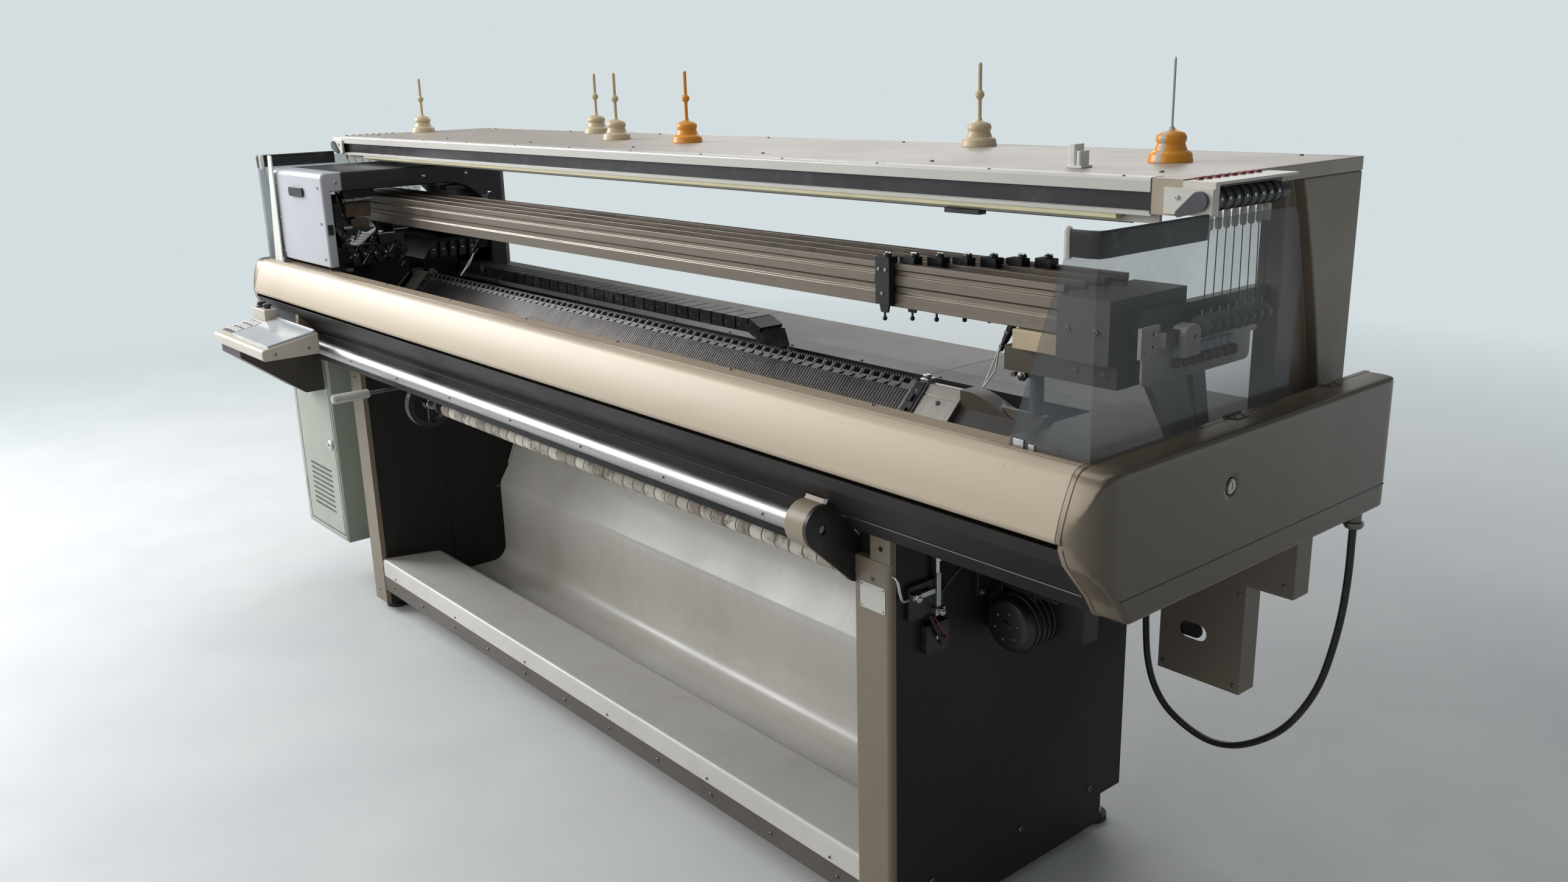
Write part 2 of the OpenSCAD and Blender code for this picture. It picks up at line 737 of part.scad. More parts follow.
// Upright column with a wing that sweeps forward under the table
column_front = window_rear + 52;
wing_t = 20;
wing_root = rear_depth - 80;
wing_reach = 100;
function wing_y(z) = wing_root - wing_reach * pow((z - rear_z) / (table_low - rear_z), 1.5);
module column(side) {
    color("#a89985") at_side(side) {
        along_x(half_table - column_t, half_table - wing_t) polygon([
            [column_front, rear_z], [rear_depth, rear_z], [rear_depth, table_low], [column_front, table_low]]);
        along_x(half_table - wing_t, half_table) polygon(concat(
            [[rear_depth, rear_z], [rear_depth, table_low]],
            [for (i = [10:-1:0]) let(z = rear_z + (table_low - rear_z) * i / 10) [wing_y(z), z]]));
    }
}

module left_column() {
    column(-1);
}

module right_column() {
    column(1);
}

// Side window, one sheet bent round the front corner
window_x = seam_x + 3;
window_front = -apron_back - 30;
window_top = table_low - 30;
window_r = 30;
module side_window(side) {
    color("#7f8a8c", 0.4) at_side(side) {
        along_y(window_front, window_front + window_t) polygon([
            [window_x - window_front_w, apron_z], [window_x + window_t, apron_z],
            [window_x + window_t, window_top], [window_x - window_front_w * 0.3, window_top]]);
        along_x(window_x, window_x + window_t) polygon(concat(
            [[window_front, window_top], [window_front, apron_z]],
            arc([window_rear - 12 - window_r, apron_z + window_r], window_r, -90, 0),
            arc([window_rear - window_r, (apron_z + window_top) / 2 + 30], window_r, -20, 20),
            arc([window_rear - 18 - window_r, window_top - window_r], window_r, 0, 90)));
    }
}

module left_window() {
    side_window(-1);
}

module right_window() {
    side_window(1);
}

// Tension unit at the table end: plate, front block, knob, bar with rings, ceramic eyelets and wires
unit_x = half_table + 28;
unit_z = table_z - 28;
unit_y = 4;
unit_w = 50;
unit_len = 190;
block_reach = 25;
block_low = table_z - 47;
eyelet_pitch = 21;
eyelets = 8;
knob_at = [unit_x + 4, unit_z + 1];
knob_step = [-30, -18];
knob_big = 13;
knob_small = 5;
knob_turn = 180 + atan(knob_step[1] / knob_step[0]);
knob_half = acos((knob_big - knob_small) / norm(knob_step));
disc_x = half_table - 10;
disc_z = mouth_z + 151;
disc_pitch = 23;
disc_r = 16;
function eyelet_y(i) = unit_y + i * eyelet_pitch;
function disc_y(i) = 55 + i * disc_pitch;
module top_tension(side) {
    color("#dddcd7") at_side(side) {
        block([half_table, nose_y, table_z - 6], [half_table + unit_w, unit_len, table_z - 2]);
        block([half_table - block_reach, nose_y - 6, block_low], [half_table + unit_w, nose_y, table_z - 11]);
        block([half_table, nose_y, block_low], [half_table + unit_w, nose_y + 10, table_z - 6]);
        along_y(nose_y - 12, nose_y - 6) polygon(concat(
            arc(knob_at, knob_big, knob_turn + knob_half - 360, knob_turn - knob_half, 16),
            arc(knob_at + knob_step, knob_small, knob_turn - knob_half, knob_turn + knob_half, 8)));
        rod_y(nose_y + 10, unit_len, unit_x, unit_z, 13);
        block([unit_x - 3, nose_y + 10, unit_z + 8], [unit_x + 3, unit_len - 10, table_z - 6]);
        for (i = [0:eyelets - 1]) translate([unit_x, eyelet_y(i), unit_z - 38])
            cylinder(r1 = 2.8, r2 = 4, h = 27, $fn = 20);
        for (i = [0:eyelets - 1]) rod_y(eyelet_y(i) - 6, eyelet_y(i) + 6, unit_x, unit_z, 16);
    }
    color("#303034") at_side(side) for (i = [0:eyelets - 1])
        rod_between([unit_x, eyelet_y(i), unit_z - 37], [disc_x + 4, disc_y(i) + 1, disc_z + disc_r], 0.8);
}

module left_top_tension() {
    top_tension(-1);
}

module right_top_tension() {
    top_tension(1);
}

// Lower tension unit: plate, notched bracket, block, rod with pairs of discs, and its two support arms
plate_x = disc_x - 14;
plate_low = disc_z - 72;
plate_top = disc_z - 20;
plate_r = 12;
module side_tension(side) {
    color("#d8d6d0") at_side(side) {
        along_x(plate_x, plate_x + 4) polygon(concat(
            arc([-54, plate_low + plate_r], plate_r, 180, 270, 5),
            arc([200, plate_low + plate_r], plate_r, -90, 0, 5),
            [[212, plate_top], [-66, plate_top]]));
        difference() {
            block([plate_x, -74, disc_z - 30], [plate_x + 6, -30, disc_z + 14]);
            for (z = [disc_z - 20, disc_z - 2]) block([plate_x - 1, -48, z], [plate_x + 7, -29, z + 7]);
        }
        difference() {
            along_x(plate_x + 4, disc_x + 12) polygon(concat(
                arc([12, disc_z - 2], 10, 90, 180, 5), [[2, disc_z - 36], [42, disc_z - 36]],
                arc([26, disc_z - 6], 16, 0, 90, 6)));
            rod_x(plate_x, disc_x + 13, 27, disc_z - 9, 4);
        }
        block([plate_x, 205, disc_z - 30], [plate_x + 4, 228, disc_z + 8]);
        block([plate_x, 224, disc_z - 8], [disc_x + 3, 228, disc_z + 8]);
        rod_y(40, 226, disc_x, disc_z, 5);
        for (i = [0:eyelets - 1], dy = [0, 4]) rod_y(disc_y(i) + dy, disc_y(i) + dy + 2.5, disc_x, disc_z, disc_r);
    }
    color("#5c4a3c") at_side(side) block([plate_x, -34, disc_z - 19], [disc_x + 2, 4, disc_z + 4]);
    color("#a3947e") at_side(side) along_x(plate_x - 14, plate_x) polygon([
        [-40, plate_top - 2], [-46, disc_z - 60], [34, deck_z], [94, deck_z], [44, disc_z - 60],
        [40, plate_top - 2]]);
    color("#2c2a2a") at_side(side) along_x(plate_x - 12, plate_x) polygon([
        [52, plate_top - 2], [96, deck_z], [124, deck_z], [88, plate_top - 2]]);
}

module left_side_tension() {
    side_tension(-1);
}

module right_side_tension() {
    side_tension(1);
}

// Cone holder with a two lobed base, a rod and a collar
module cone_holder(at, rod_r, collar) {
    s = cone_r / 35;
    translate([at[0], at[1], table_z]) rotate_extrude() polygon(concat(
        [[0, 0], [cone_r, 0], [cone_r, 4]],
        arc([24 * s, 8], 10 * s, -10, 80, 5), arc([13 * s, 36], 11 * s, -40, 70, 6),
        [[6 * s, 50], [rod_r, 56]],
        collar ? [[rod_r, cone_h * 0.56], [9, cone_h * 0.6], [9, cone_h * 0.64], [rod_r, cone_h * 0.68]] : [],
        [[rod_r, cone_h - 4], [rod_r - 1, cone_h], [0, cone_h]]));
}

cone_row1 = table_front + 232;
cone_row2 = rear_depth - 60;
module cone_holders() {
    color("#d8c8a8") for (at = [[50 - half_table, cone_row1 - 15], [736 - half_table, cone_row2],
        [1111 - half_table, cone_row1], [half_table - 756, cone_row2]]) cone_holder(at, 4, true);
}

module orange_cone_holders() {
    color("#d98a2c") {
        cone_holder([1408 - half_table, cone_row1], 4, true);
        cone_holder([half_table - 196, cone_row1], 2, false);
    }
}

// Control bar: bright D section over a dark channel, turning on its journals
bar_x1 = leg_in - 55;
bar_x0 = bar_x1 - bar_len;
journal_r = 8;
module control_bar() {
    color("#c9ccd1") {
        along_x(bar_x0, bar_x1) polygon(concat(
            arc([-bar_front, bar_z], bar_w / 2, -20, 200, 16),
            [[-bar_front - bar_w * 0.36, bar_z - bar_w * 0.36], [-bar_front - 9, bar_z - 17], [-bar_front - 9, bar_z - 31], [-bar_front + 9, bar_z - 31],
            [-bar_front + 9, bar_z - 17], [-bar_front + bar_w * 0.36, bar_z - bar_w * 0.36]]));
        rod_x(bar_x0 - 18, bar_x1 + 50, -bar_front, bar_z, journal_r);
    }
}

// End arms of the control bar; the right one also carries the roller journal
arm_x = leg_in - 8;
strap_w = 44;
arm_nose = [for (a = [80:15:230]) [-bar_front, bar_z + 4] + 38 * dir(a)];
arm_root = panel_knee + 0.48 * (panel_bend - panel_knee);
strap_root = arm_root + 1.4 * side_of(panel_knee, panel_bend);
module bar_arms() {
    color("#b9aa95") {
        difference() {
            along_x(arm_x, leg_in) polygon(concat(
                [panel_knee, arm_root], arm_nose,
                arc([-roller_front, roller_z + 8], 30, 215, 330, 8),
                [[-leg_front + 30, leg_top], panel_foot]));
            rod_x(arm_x - 1, leg_in + 1, -bar_front, bar_z, journal_r + run_fit);
            rod_x(arm_x - 1, leg_in + 1, -roller_front, roller_z, journal_r + run_fit);
        }
        along_x(arm_x - strap_w, arm_x) polygon(sheet(concat([strap_root], arm_nose), 4));
        difference() {
            along_x(bar_x0 - 26, bar_x0 - 6) polygon(concat(
                [panel_knee, panel_bend], arc([-bar_front, bar_z], 24, 150, 300, 8)));
            rod_x(bar_x0 - 19, bar_x0 - 5, -bar_front, bar_z, journal_r + run_fit);
        }
    }
}

// Take down roller with its rubber segments, journals and handwheel
roller_x1 = arm_x - 4;
roller_x0 = roller_x1 - roller_len;
segments = 40;
wheel_x = roller_x0 - 110;
function segment(i) = let(x = i * roller_len / segments, w = roller_len / segments)
    [[roller_r - 1.5, x], [roller_r - 1.5, x + 1], [roller_r, x + 2.2], [roller_r, x + w - 1.2]];
module take_down_roller() {
    color("#cfc8b8") translate([roller_x0, -roller_front, roller_z]) rotate([0, 90, 0]) rotate_extrude()
        polygon(concat([[0, 0]], [for (i = [0:segments - 1]) each segment(i)],
            [[roller_r - 1.5, roller_len], [0, roller_len]]));
    color("#1d1d1f") {
        rod_x(roller_x1, leg_in - 1, -roller_front, roller_z, journal_r);
        rod_x(wheel_x - 12, roller_x0, -roller_front, roller_z, journal_r);
        translate([wheel_x, -roller_front, roller_z]) rotate([0, 90, 0]) difference() {
            cylinder(r = wheel_r, h = 22);
            translate([0, 0, -1]) cylinder(r = wheel_r - 14, h = 24);
        }
        translate([wheel_x + 7, -roller_front, roller_z]) rotate([0, 90, 0]) for (a = [0:120:359])
            rotate([0, 0, a]) translate([0, -6, 0]) cube([wheel_r - 10, 12, 8]);
        rod_x(wheel_x + 3, wheel_x + 19, -roller_front, roller_z, 16);
    }
}

// Hanging plates for the left roller journal and the release lever
hang_x = roller_x0 - 40;
lever_x = wheel_x - 58;
lever_y = -226;
lever_z = leg_top - 35;
lever_pin = 5;
module roller_brackets() {
    color("#4b4845") {
        difference() {
            along_x(hang_x, hang_x + 10) polygon(concat(
                arc([-roller_front, roller_z], 16, 180, 360, 10),
                [[-roller_front + 20, leg_top], panel_foot]));
            rod_x(hang_x - 1, hang_x + 11, -roller_front, roller_z, journal_r + run_fit);
        }
        along_x(lever_x - 12, lever_x - 2) polygon(concat(
            arc([lever_y, lever_z], 12, 180, 360, 8), [[lever_y + 20, leg_top], panel_foot]));
        rod_x(lever_x - 4, lever_x + 26, lever_y, lever_z, lever_pin);
    }
}

// Release lever with a rod and a light grip
lever_len = 215;
grip_len = 95;
module release_lever() {
    color("#b5b3ae") {
        difference() {
            union() {
                rod_x(lever_x, lever_x + 22, lever_y, lever_z, 12);
                rod_y(lever_y - lever_len + grip_len, lever_y - 10, lever_x + 11, lever_z, 5);
            }
            rod_x(lever_x - 1, lever_x + 23, lever_y, lever_z, lever_pin + run_fit);
        }
        translate([lever_x + 11, lever_y - lever_len + grip_len, lever_z]) rotate([90, 0, 0]) rotate_extrude()
            polygon([[0, 0], [9, 0], [11, 3], [12, grip_len * 0.5], [12, grip_len - 6], [9, grip_len],
                [0, grip_len]]);
    }
}

// Cloth receiver: one folded sheet with a lip, a trough and a back that leans away
tray_low = 66;
receiver_line = concat(
    [[345, 690], [230, 409], [211, 364]],
    arc([175 + 60, 294], 60, 158, 180, 3),
    arc([175 - 45, tray_low + 45], 45, 0, -90, 7),
    [[60, tray_low]],
    [for (t = [0:0.125:1]) [40 - 90 * t, tray_low + (lip_z - 18 - tray_low) * (1 - cos(180 * t)) / 2]],
    arc([-leg_front + 10, lip_z - 8], 8, 95, 180, 5),
    [[-leg_front + 2, skirt_z + skirt_h]]);
module cloth_receiver() {
    color("#d9d6ce") along_x(-leg_in + seat, leg_in - seat) polygon(sheet(receiver_line, receiver_t));
}

// Console beside the left end of the control bar
console_x1 = 5 - leg_in;
console_x0 = console_x1 - console_w;
console_back = -apron_front - 5;
console_front = console_back - console_depth;
console_z = leg_top + 12;
console_top = console_z + console_h;
console_fall = 28;
module console_body() {
    color("#ded8ca") {
        along_x(console_x0, console_x1) polygon(concat(
            [[console_back, console_z], [console_back, console_top]],
            arc([console_front + 10, console_top - console_fall - 9], 10, 100, 180, 5),
            arc([console_front + 8, console_z + 8], 8, 180, 270, 4)));
        block([console_x0, console_back - 40, console_top - 12],
            [console_x0 + 105, console_back, console_top + 30]);
    }
}

// Glossy console lid, hinged at its rear edge
lid_t = 6;
lid_len = console_depth - 24;
lid_tilt = atan((console_fall - 0.85) / (console_depth - 8.26));
hinge_y = console_back - 8;
hinge_z = console_top - 8 * tan(lid_tilt) + (lid_t + 0.5 + seat) / cos(lid_tilt);
module console_lid() {
    color("#c6cdd0") translate([0, hinge_y, hinge_z]) {
        rotate([lid_tilt, 0, 0]) block([console_x0 + 112, -lid_len, -lid_t - 0.5], [console_x1 - 6, -1, -0.5]);
        rod_x(console_x0 + 112, console_x1 - 6, 0, 0, 3);
    }
}

// Bracket between the console and the control cabinet
cabinet_x1 = -leg_out - 105;
cabinet_x0 = cabinet_x1 - cabinet_w;
cabinet_front = -245;
module console_bracket() {
    color("#5a534c") along_x(console_x0 + 20, bar_x0 - 30) polygon([
        [console_front + 12, console_z], [console_back - 4, console_z], [cabinet_front, leg_top - 12],
        [cabinet_front, leg_top - 140], [-300, leg_top - 140], [console_front + 12, console_z - 24]]);
}

// Control cabinet with a raised pale door and a recessed neck to the left leg
module control_cabinet() {
    color("#bfc9b8") {
        block([cabinet_x0, cabinet_front + 4, leg_top - cabinet_h], [cabinet_x1, leg_back - 20, leg_top]);
        block([cabinet_x1 - 1, -170, leg_top - cabinet_h + 20], [-leg_out, leg_back - 40, leg_top]);
        block([cabinet_x0 + 26, cabinet_front, leg_top - cabinet_h + 8],
            [cabinet_x1 - 4, cabinet_front + 4, leg_top - 20]);
    }
}

// Drive motor on the outer side of the right leg
motor_y = 40;
motor_z = leg_top - 84;
module drive_motor() {
    color("#232428") {
        block([leg_out, motor_y - 66, motor_z - 66], [leg_out + 14, motor_y + 66, motor_z + 60]);
        rod_x(leg_out + 14, leg_out + 150, motor_y, motor_z, 52);
        rod_x(leg_out + 150, leg_out + 196, motor_y, motor_z, 44);
        block([leg_out + 60, motor_y - 30, motor_z + 40], [leg_out + 130, motor_y + 30, motor_z + 66]);
    }
}

// Sheet metal box below the rear cover, with an oval hand hole and a gusset
box_x0 = leg_out + 95;
box_x1 = box_x0 + 170;
box_y = rear_depth - 80;
box_depth = 50;
box_h = 392;
gusset_w = 88;
gusset_h = 180;
gland_r = 12;
hole_at = [box_x0 + 70, leg_top - 298];
module rear_box() {
    color("#a59a8a") {
        difference() {
            block([box_x0, box_y, leg_top - box_h], [box_x1, box_y + box_depth, leg_top]);
            block([box_x0 + sheet_t, box_y + sheet_t, leg_top - box_h - 1],
                [box_x1 - sheet_t, box_y + box_depth + 1, leg_top - sheet_t]);
            along_y(box_y - 1, box_y + sheet_t + 1) polygon(concat(
                arc(hole_at + [12, 0], 16, -90, 90, 10), arc(hole_at - [12, 0], 16, 90, 270, 10)));
        }
        block([box_x1, box_y, leg_top - gusset_h], [box_x1 + gusset_w, box_y + sheet_t, leg_top]);
        block([box_x1 + gusset_w - sheet_t, box_y + sheet_t, leg_top - gusset_h],
            [box_x1 + gusset_w, box_y + box_depth, leg_top]);
        translate([box_x0 - 30, cable_y, leg_top - 60]) cylinder(r = gland_r, h = 60);
        translate([seam_x + 25, cable_y, leg_top - 30]) cylinder(r = gland_r, h = 30);
    }
}

// Power cable that hangs in a loop between the box and the right end
cable_r = 6.5;
cable_y = box_y + 40;
cable_path = [[1150, 720], [1150, 706], [1150, 690], [1142, 645], [1131, 595], [1124, 540], [1122, 480],
    [1125, 420], [1132, 370], [1148, 325], [1178, 287], [1225, 262], [1275, 252], [1325, 262], [1375, 292], [1420, 335],
    [1455, 390], [1480, 450], [1496, 520], [1506, 590], [1510, 660], [1510, 710], [1510, 750]];
cable_sides = 10;
cable_fine = 3;
// Point on the smooth curve through the route, t counted in route points
function cable_at(t) = let(
    i = min(floor(t), len(cable_path) - 2), u = t - i,
    a = cable_path[max(i - 1, 0)], b = cable_path[i], c = cable_path[i + 1],
    d = cable_path[min(i + 2, len(cable_path) - 1)])
    0.5 * ((2 * b) + (c - a) * u + (2 * a - 5 * b + 4 * c - d) * u * u + (3 * b - a - 3 * c + d) * u * u * u);
cable_line = [for (k = [0:(len(cable_path) - 1) * cable_fine]) cable_at(k / cable_fine)];
cable_rings = len(cable_line);
function ring(k) = let(
    p = cable_line[max(k - 1, 0)], q = cable_line[min(k + 1, cable_rings - 1)], n = side_of(p, q))
    [for (j = [0:cable_sides - 1]) let(a = 360 * j / cable_sides)
        [cable_line[k][0] + cable_r * cos(a) * n[0], cable_y + cable_r * sin(a),
            cable_line[k][1] + cable_r * cos(a) * n[1]]];
module power_cable() {
    color("#161616") polyhedron(
        points = [for (k = [0:cable_rings - 1]) each ring(k)],
        faces = concat(
            [[for (j = [0:cable_sides - 1]) j]],
            [for (k = [0:cable_rings - 2], j = [0:cable_sides - 1]) [
                k * cable_sides + j, (k + 1) * cable_sides + j,
                (k + 1) * cable_sides + (j + 1) % cable_sides, k * cable_sides + (j + 1) % cable_sides]],
            [[for (j = [cable_sides - 1:-1:0]) (cable_rings - 1) * cable_sides + j]]));
}

left_leg();
right_leg();
front_trims();
levelling_feet();
main_beam();
under_panel();
front_apron();
rear_cover();
left_end_cap();
right_end_cap();
left_cap_lock();
right_cap_lock();
front_needle_bed();
rear_needle_bed();
front_sinker_strip();
rear_sinker_strip();
bed_end_blocks();
end_guards();
yarn_rails();
rail_brackets();
yarn_carrier_1();
yarn_carrier_2();
yarn_carrier_3();
yarn_carrier_4();
yarn_carrier_5();
yarn_carrier_6();
yarn_carrier_7();
yarn_carrier_8();
carriage_front_cover();
carriage_arch();
carriage_front_cam();
carriage_rear_cam();
cable_chain();
yarn_table();
table_front_rail();
lamp_strip();
hood_slider();
left_column();
right_column();
left_window();
right_window();
left_top_tension();
right_top_tension();
left_side_tension();
right_side_tension();
cone_holders();
orange_cone_holders();
control_bar();
bar_arms();
take_down_roller();
roller_brackets();
release_lever();
cloth_receiver();
console_body();
console_lid();
console_bracket();
control_cabinet();
drive_motor();
rear_box();
power_cable();
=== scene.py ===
import math
import random
from itertools import product

import bmesh
import bpy
from mathutils import Matrix, Vector


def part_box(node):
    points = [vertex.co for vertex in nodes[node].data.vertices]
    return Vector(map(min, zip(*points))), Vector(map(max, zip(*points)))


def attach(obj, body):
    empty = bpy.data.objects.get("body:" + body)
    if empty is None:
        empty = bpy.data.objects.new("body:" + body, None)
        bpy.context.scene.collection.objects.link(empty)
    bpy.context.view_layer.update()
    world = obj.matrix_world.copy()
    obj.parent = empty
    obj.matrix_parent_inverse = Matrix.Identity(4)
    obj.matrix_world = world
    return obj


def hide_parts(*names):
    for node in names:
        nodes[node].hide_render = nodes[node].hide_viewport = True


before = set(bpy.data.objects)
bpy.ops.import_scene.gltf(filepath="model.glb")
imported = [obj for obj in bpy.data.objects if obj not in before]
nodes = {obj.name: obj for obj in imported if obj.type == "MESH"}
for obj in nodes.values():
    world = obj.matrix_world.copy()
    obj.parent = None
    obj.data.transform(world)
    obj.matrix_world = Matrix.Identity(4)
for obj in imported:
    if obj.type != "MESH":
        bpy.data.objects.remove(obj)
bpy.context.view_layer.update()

scene = bpy.context.scene
rng = random.Random(7)


def fill(thing, **values):
    """Sets attributes of a thing and returns it."""
    for key, value in values.items():
        setattr(thing, key, value)
    return thing


# Camera at the viewing angle of the photo
CAMERA_AT = (2.465, -1.585, 1.5)
CAMERA_RIGHT = (0.6463, 0.7626, -0.0266)
CAMERA_UP = (-0.1934, 0.1974, 0.9611)
CAMERA_LENS = 29.8


def add_camera():
    data = fill(bpy.data.cameras.new("camera"), sensor_width=36, lens=CAMERA_LENS, clip_start=0.05)
    right = Vector(CAMERA_RIGHT).normalized()
    up = Vector(CAMERA_UP)
    up = (up - up.dot(right) * right).normalized()
    turn = Matrix((right, up, right.cross(up))).transposed().to_4x4()
    scene.camera = bpy.data.objects.new("camera", data)
    scene.camera.matrix_world = Matrix.Translation(CAMERA_AT) @ turn
    scene.collection.objects.link(scene.camera)


add_camera()


# Places of the machine in millimetres, read from the frame
def low(node):
    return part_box(node)[0] * 1000


def high(node):
    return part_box(node)[1] * 1000


M = 0.001  # metres in a millimetre
MOUTH_Z = high("front_sinker_strip").z
HALF_BED = high("front_needle_bed").x
APRON_Z = high("front_apron").z
SEAM_X = high("front_apron").x
HALF_LEN = high("right_end_cap").x
LEG_TOP = high("left_leg").z
LEG_IN = low("right_leg").x
LEG_OUT = high("right_leg").x
LEG_FRONT = low("front_trims").y
REAR_Y = high("rear_cover").y
REAR_Z = high("rear_cover").z
RAIL_Z = low("yarn_rails").z
RAIL_TOP = high("yarn_rails").z
RAIL_END = high("yarn_rails").x
TABLE_Z = high("yarn_table").z
TABLE_LOW = low("yarn_table").z
HALF_TABLE = high("yarn_table").x
TABLE_FRONT = low("yarn_table").y
NOSE_Y = low("table_front_rail").y
CARRIAGE_X0 = low("carriage_arch").x
CARRIAGE_X1 = high("carriage_arch").x
ROLLER_X0 = -486.9
ROLLER_X1 = ROLLER_X0 + 1480
ROLLER_R = 17
ROLLER_Y = -214
ROLLER_Z = LEG_TOP - 74
SEGMENT = 37
BAR_Y = -290
BAR_Z = LEG_TOP + 12
CREST = 5
ROOT = math.sqrt(0.5)
LEFT, RIGHT, FRONT, BACK = (-1, 0, 0), (1, 0, 0), (0, -1, 0), (0, 1, 0)
UP, DOWN = (0, 0, 1), (0, 0, -1)
SIDES = ((1, "right"), (-1, "left"))


# Looks
looks = {}


class Nodes:
    """The node tree of a material or of the world, with colours in thousandths."""

    def __init__(self, owner):
        owner.use_nodes = True
        self.tree = owner.node_tree

    def put(self, socket, value):
        """Links the output of a node to a socket, or sets the socket's own value."""
        if hasattr(value, "is_linked"):
            self.tree.links.new(value, socket)
        elif socket.type == "RGBA":
            socket.default_value = (*(c / 1000 for c in value), 1)
        else:
            socket.default_value = value

    def node(self, kind, inputs=None, **settings):
        made = fill(self.tree.nodes.new("ShaderNode" + kind), **settings)
        for key, value in (inputs or {}).items():
            self.put(made.inputs[key], value)
        return made


class Shader(Nodes):
    """A named look: a principled shader that is built from object coordinates."""

    def __init__(self, name):
        looks[name] = bpy.data.materials.new(name)
        super().__init__(looks[name])
        self.bsdf = self.tree.nodes["Principled BSDF"]
        self.coords = self.node("TexCoord").outputs["Object"]

    def set(self, **values):
        for key, value in values.items():
            self.put(self.bsdf.inputs[key.replace("_", " ")], value)

    def noise(self, scale, detail=4, rough=0.6, stretch=(1, 1, 1)):
        place = self.node("Mapping", {"Scale": stretch, "Vector": self.coords}).outputs[0]
        values = {"Scale": scale, "Detail": detail, "Roughness": rough, "Vector": place}
        return self.node("TexNoise", values).outputs["Fac"]

    def fade(self, value, low_end, high_end, start=0, end=1):
        values = {"Value": value, "From Min": low_end, "From Max": high_end, "To Min": start, "To Max": end}
        return self.node("MapRange", values).outputs[0]

    def mix(self, factor, a, b):
        return self.node("Mix", {"Factor": factor, 6: a, 7: b}, data_type="RGBA").outputs[2]

    def mottle(self, value, colour, light, dark, low_end=0.35):
        """A colour that a noise varies between a lighter and a darker shade."""
        return self.mix(self.fade(value, low_end, 0.7), scaled(colour, light), scaled(colour, dark))

    def math(self, operation, a, b=0):
        return self.node("Math", {0: a, 1: b}, operation=operation).outputs[0]

    def axis(self, name):
        return self.node("SeparateXYZ", {0: self.coords}).outputs[name]

    def zone(self, limits):
        """One inside the given ranges in millimetres, such as {"X": (0, 9)}, and zero outside them."""
        inside = None
        for name, (start, end) in limits.items():
            value = self.axis(name)
            part = self.math("MULTIPLY", self.math("GREATER_THAN", value, start * M),
                             self.math("LESS_THAN", value, end * M))
            inside = part if inside is None else self.math("MULTIPLY", inside, part)
        return inside

    def bump(self, height, strength, distance=0.0004):
        made = self.node("Bump", {"Strength": strength, "Distance": distance, "Height": height})
        self.set(Normal=made.outputs["Normal"])

    def roughness(self, value, start, end):
        self.set(Roughness=self.fade(value, 0.3, 0.7, start, end))


def scaled(colour, factor):
    return [min(1000, c * factor) for c in colour]


GRIME = (150, 120, 90)


def painted(name, colour, rough=0.42, dirt=0.35, grime=GRIME, zones=(), coat=0, shine=0.5):
    """Paint with an orange-peel surface, faint mottling, streaks of grime and rubbed places."""
    s = Shader(name)
    blotch = s.noise(2.2, 6, 0.65)
    base = s.mottle(blotch, colour, 1.04, 0.9)
    for limits, other in zones:
        base = s.mix(s.zone(limits), base, s.mottle(blotch, other, 1.06, 0.88))
    streaks = s.noise(5, 8, 0.75, (1, 1, 0.25))
    worn = s.mix(s.fade(streaks, 0.52, 0.8, 0, dirt), base, grime)
    specks = s.mix(s.fade(s.noise(38, 3), 0.66, 0.8, 0, dirt * 0.8), worn, scaled(grime, 0.7))
    rubs = s.fade(s.noise(14, 6, 0.7, (0.25, 1.6, 1.6)), 0.6, 0.8, 0, dirt * 0.5)
    s.roughness(blotch, rough - 0.07, rough + 0.1)
    s.bump(s.noise(420, 2), 0.1)
    s.set(Base_Color=s.mix(rubs, specks, scaled(colour, 1.4)), Coat_Weight=coat, Coat_Roughness=0.15,
          Specular_IOR_Level=shine)


def brushed(name, colour, rough=0.32, metal=1, along=(1.5, 160, 160), dirt=0.3, zones=()):
    """Worked metal with fine lines along one axis, oil marks and dull patches."""
    s = Shader(name)
    lines = s.noise(3, 4, 0.7, along)
    marks = s.noise(7, 6, 0.7)
    base = s.mottle(lines, colour, 0.86, 1.1, 0.3)
    for limits, other in zones:
        base = s.mix(s.zone(limits), base, other)
    s.roughness(marks, rough - 0.06, rough + 0.14)
    s.bump(lines, 0.12, 0.0003)
    s.set(Base_Color=s.mix(s.fade(marks, 0.5, 0.78, 0, dirt), base, scaled(colour, 0.35)), Metallic=metal)


def moulded(name, colour, rough=0.5, dirt=0.2, grain=700, bump=0.12, zones=()):
    """Moulded plastic or rubber with a fine grain and handling marks."""
    s = Shader(name)
    marks = s.noise(11, 6, 0.7)
    base = s.mottle(marks, colour, 1.05, 0.88)
    for limits, other in zones:
        base = s.mix(s.zone(limits), base, other)
    s.set(Base_Color=s.mix(s.fade(s.noise(24, 5), 0.55, 0.8, 0, dirt), base, (330, 310, 280)))
    s.roughness(marks, rough - 0.08, rough + 0.1)
    s.bump(s.noise(grain, 2), bump)


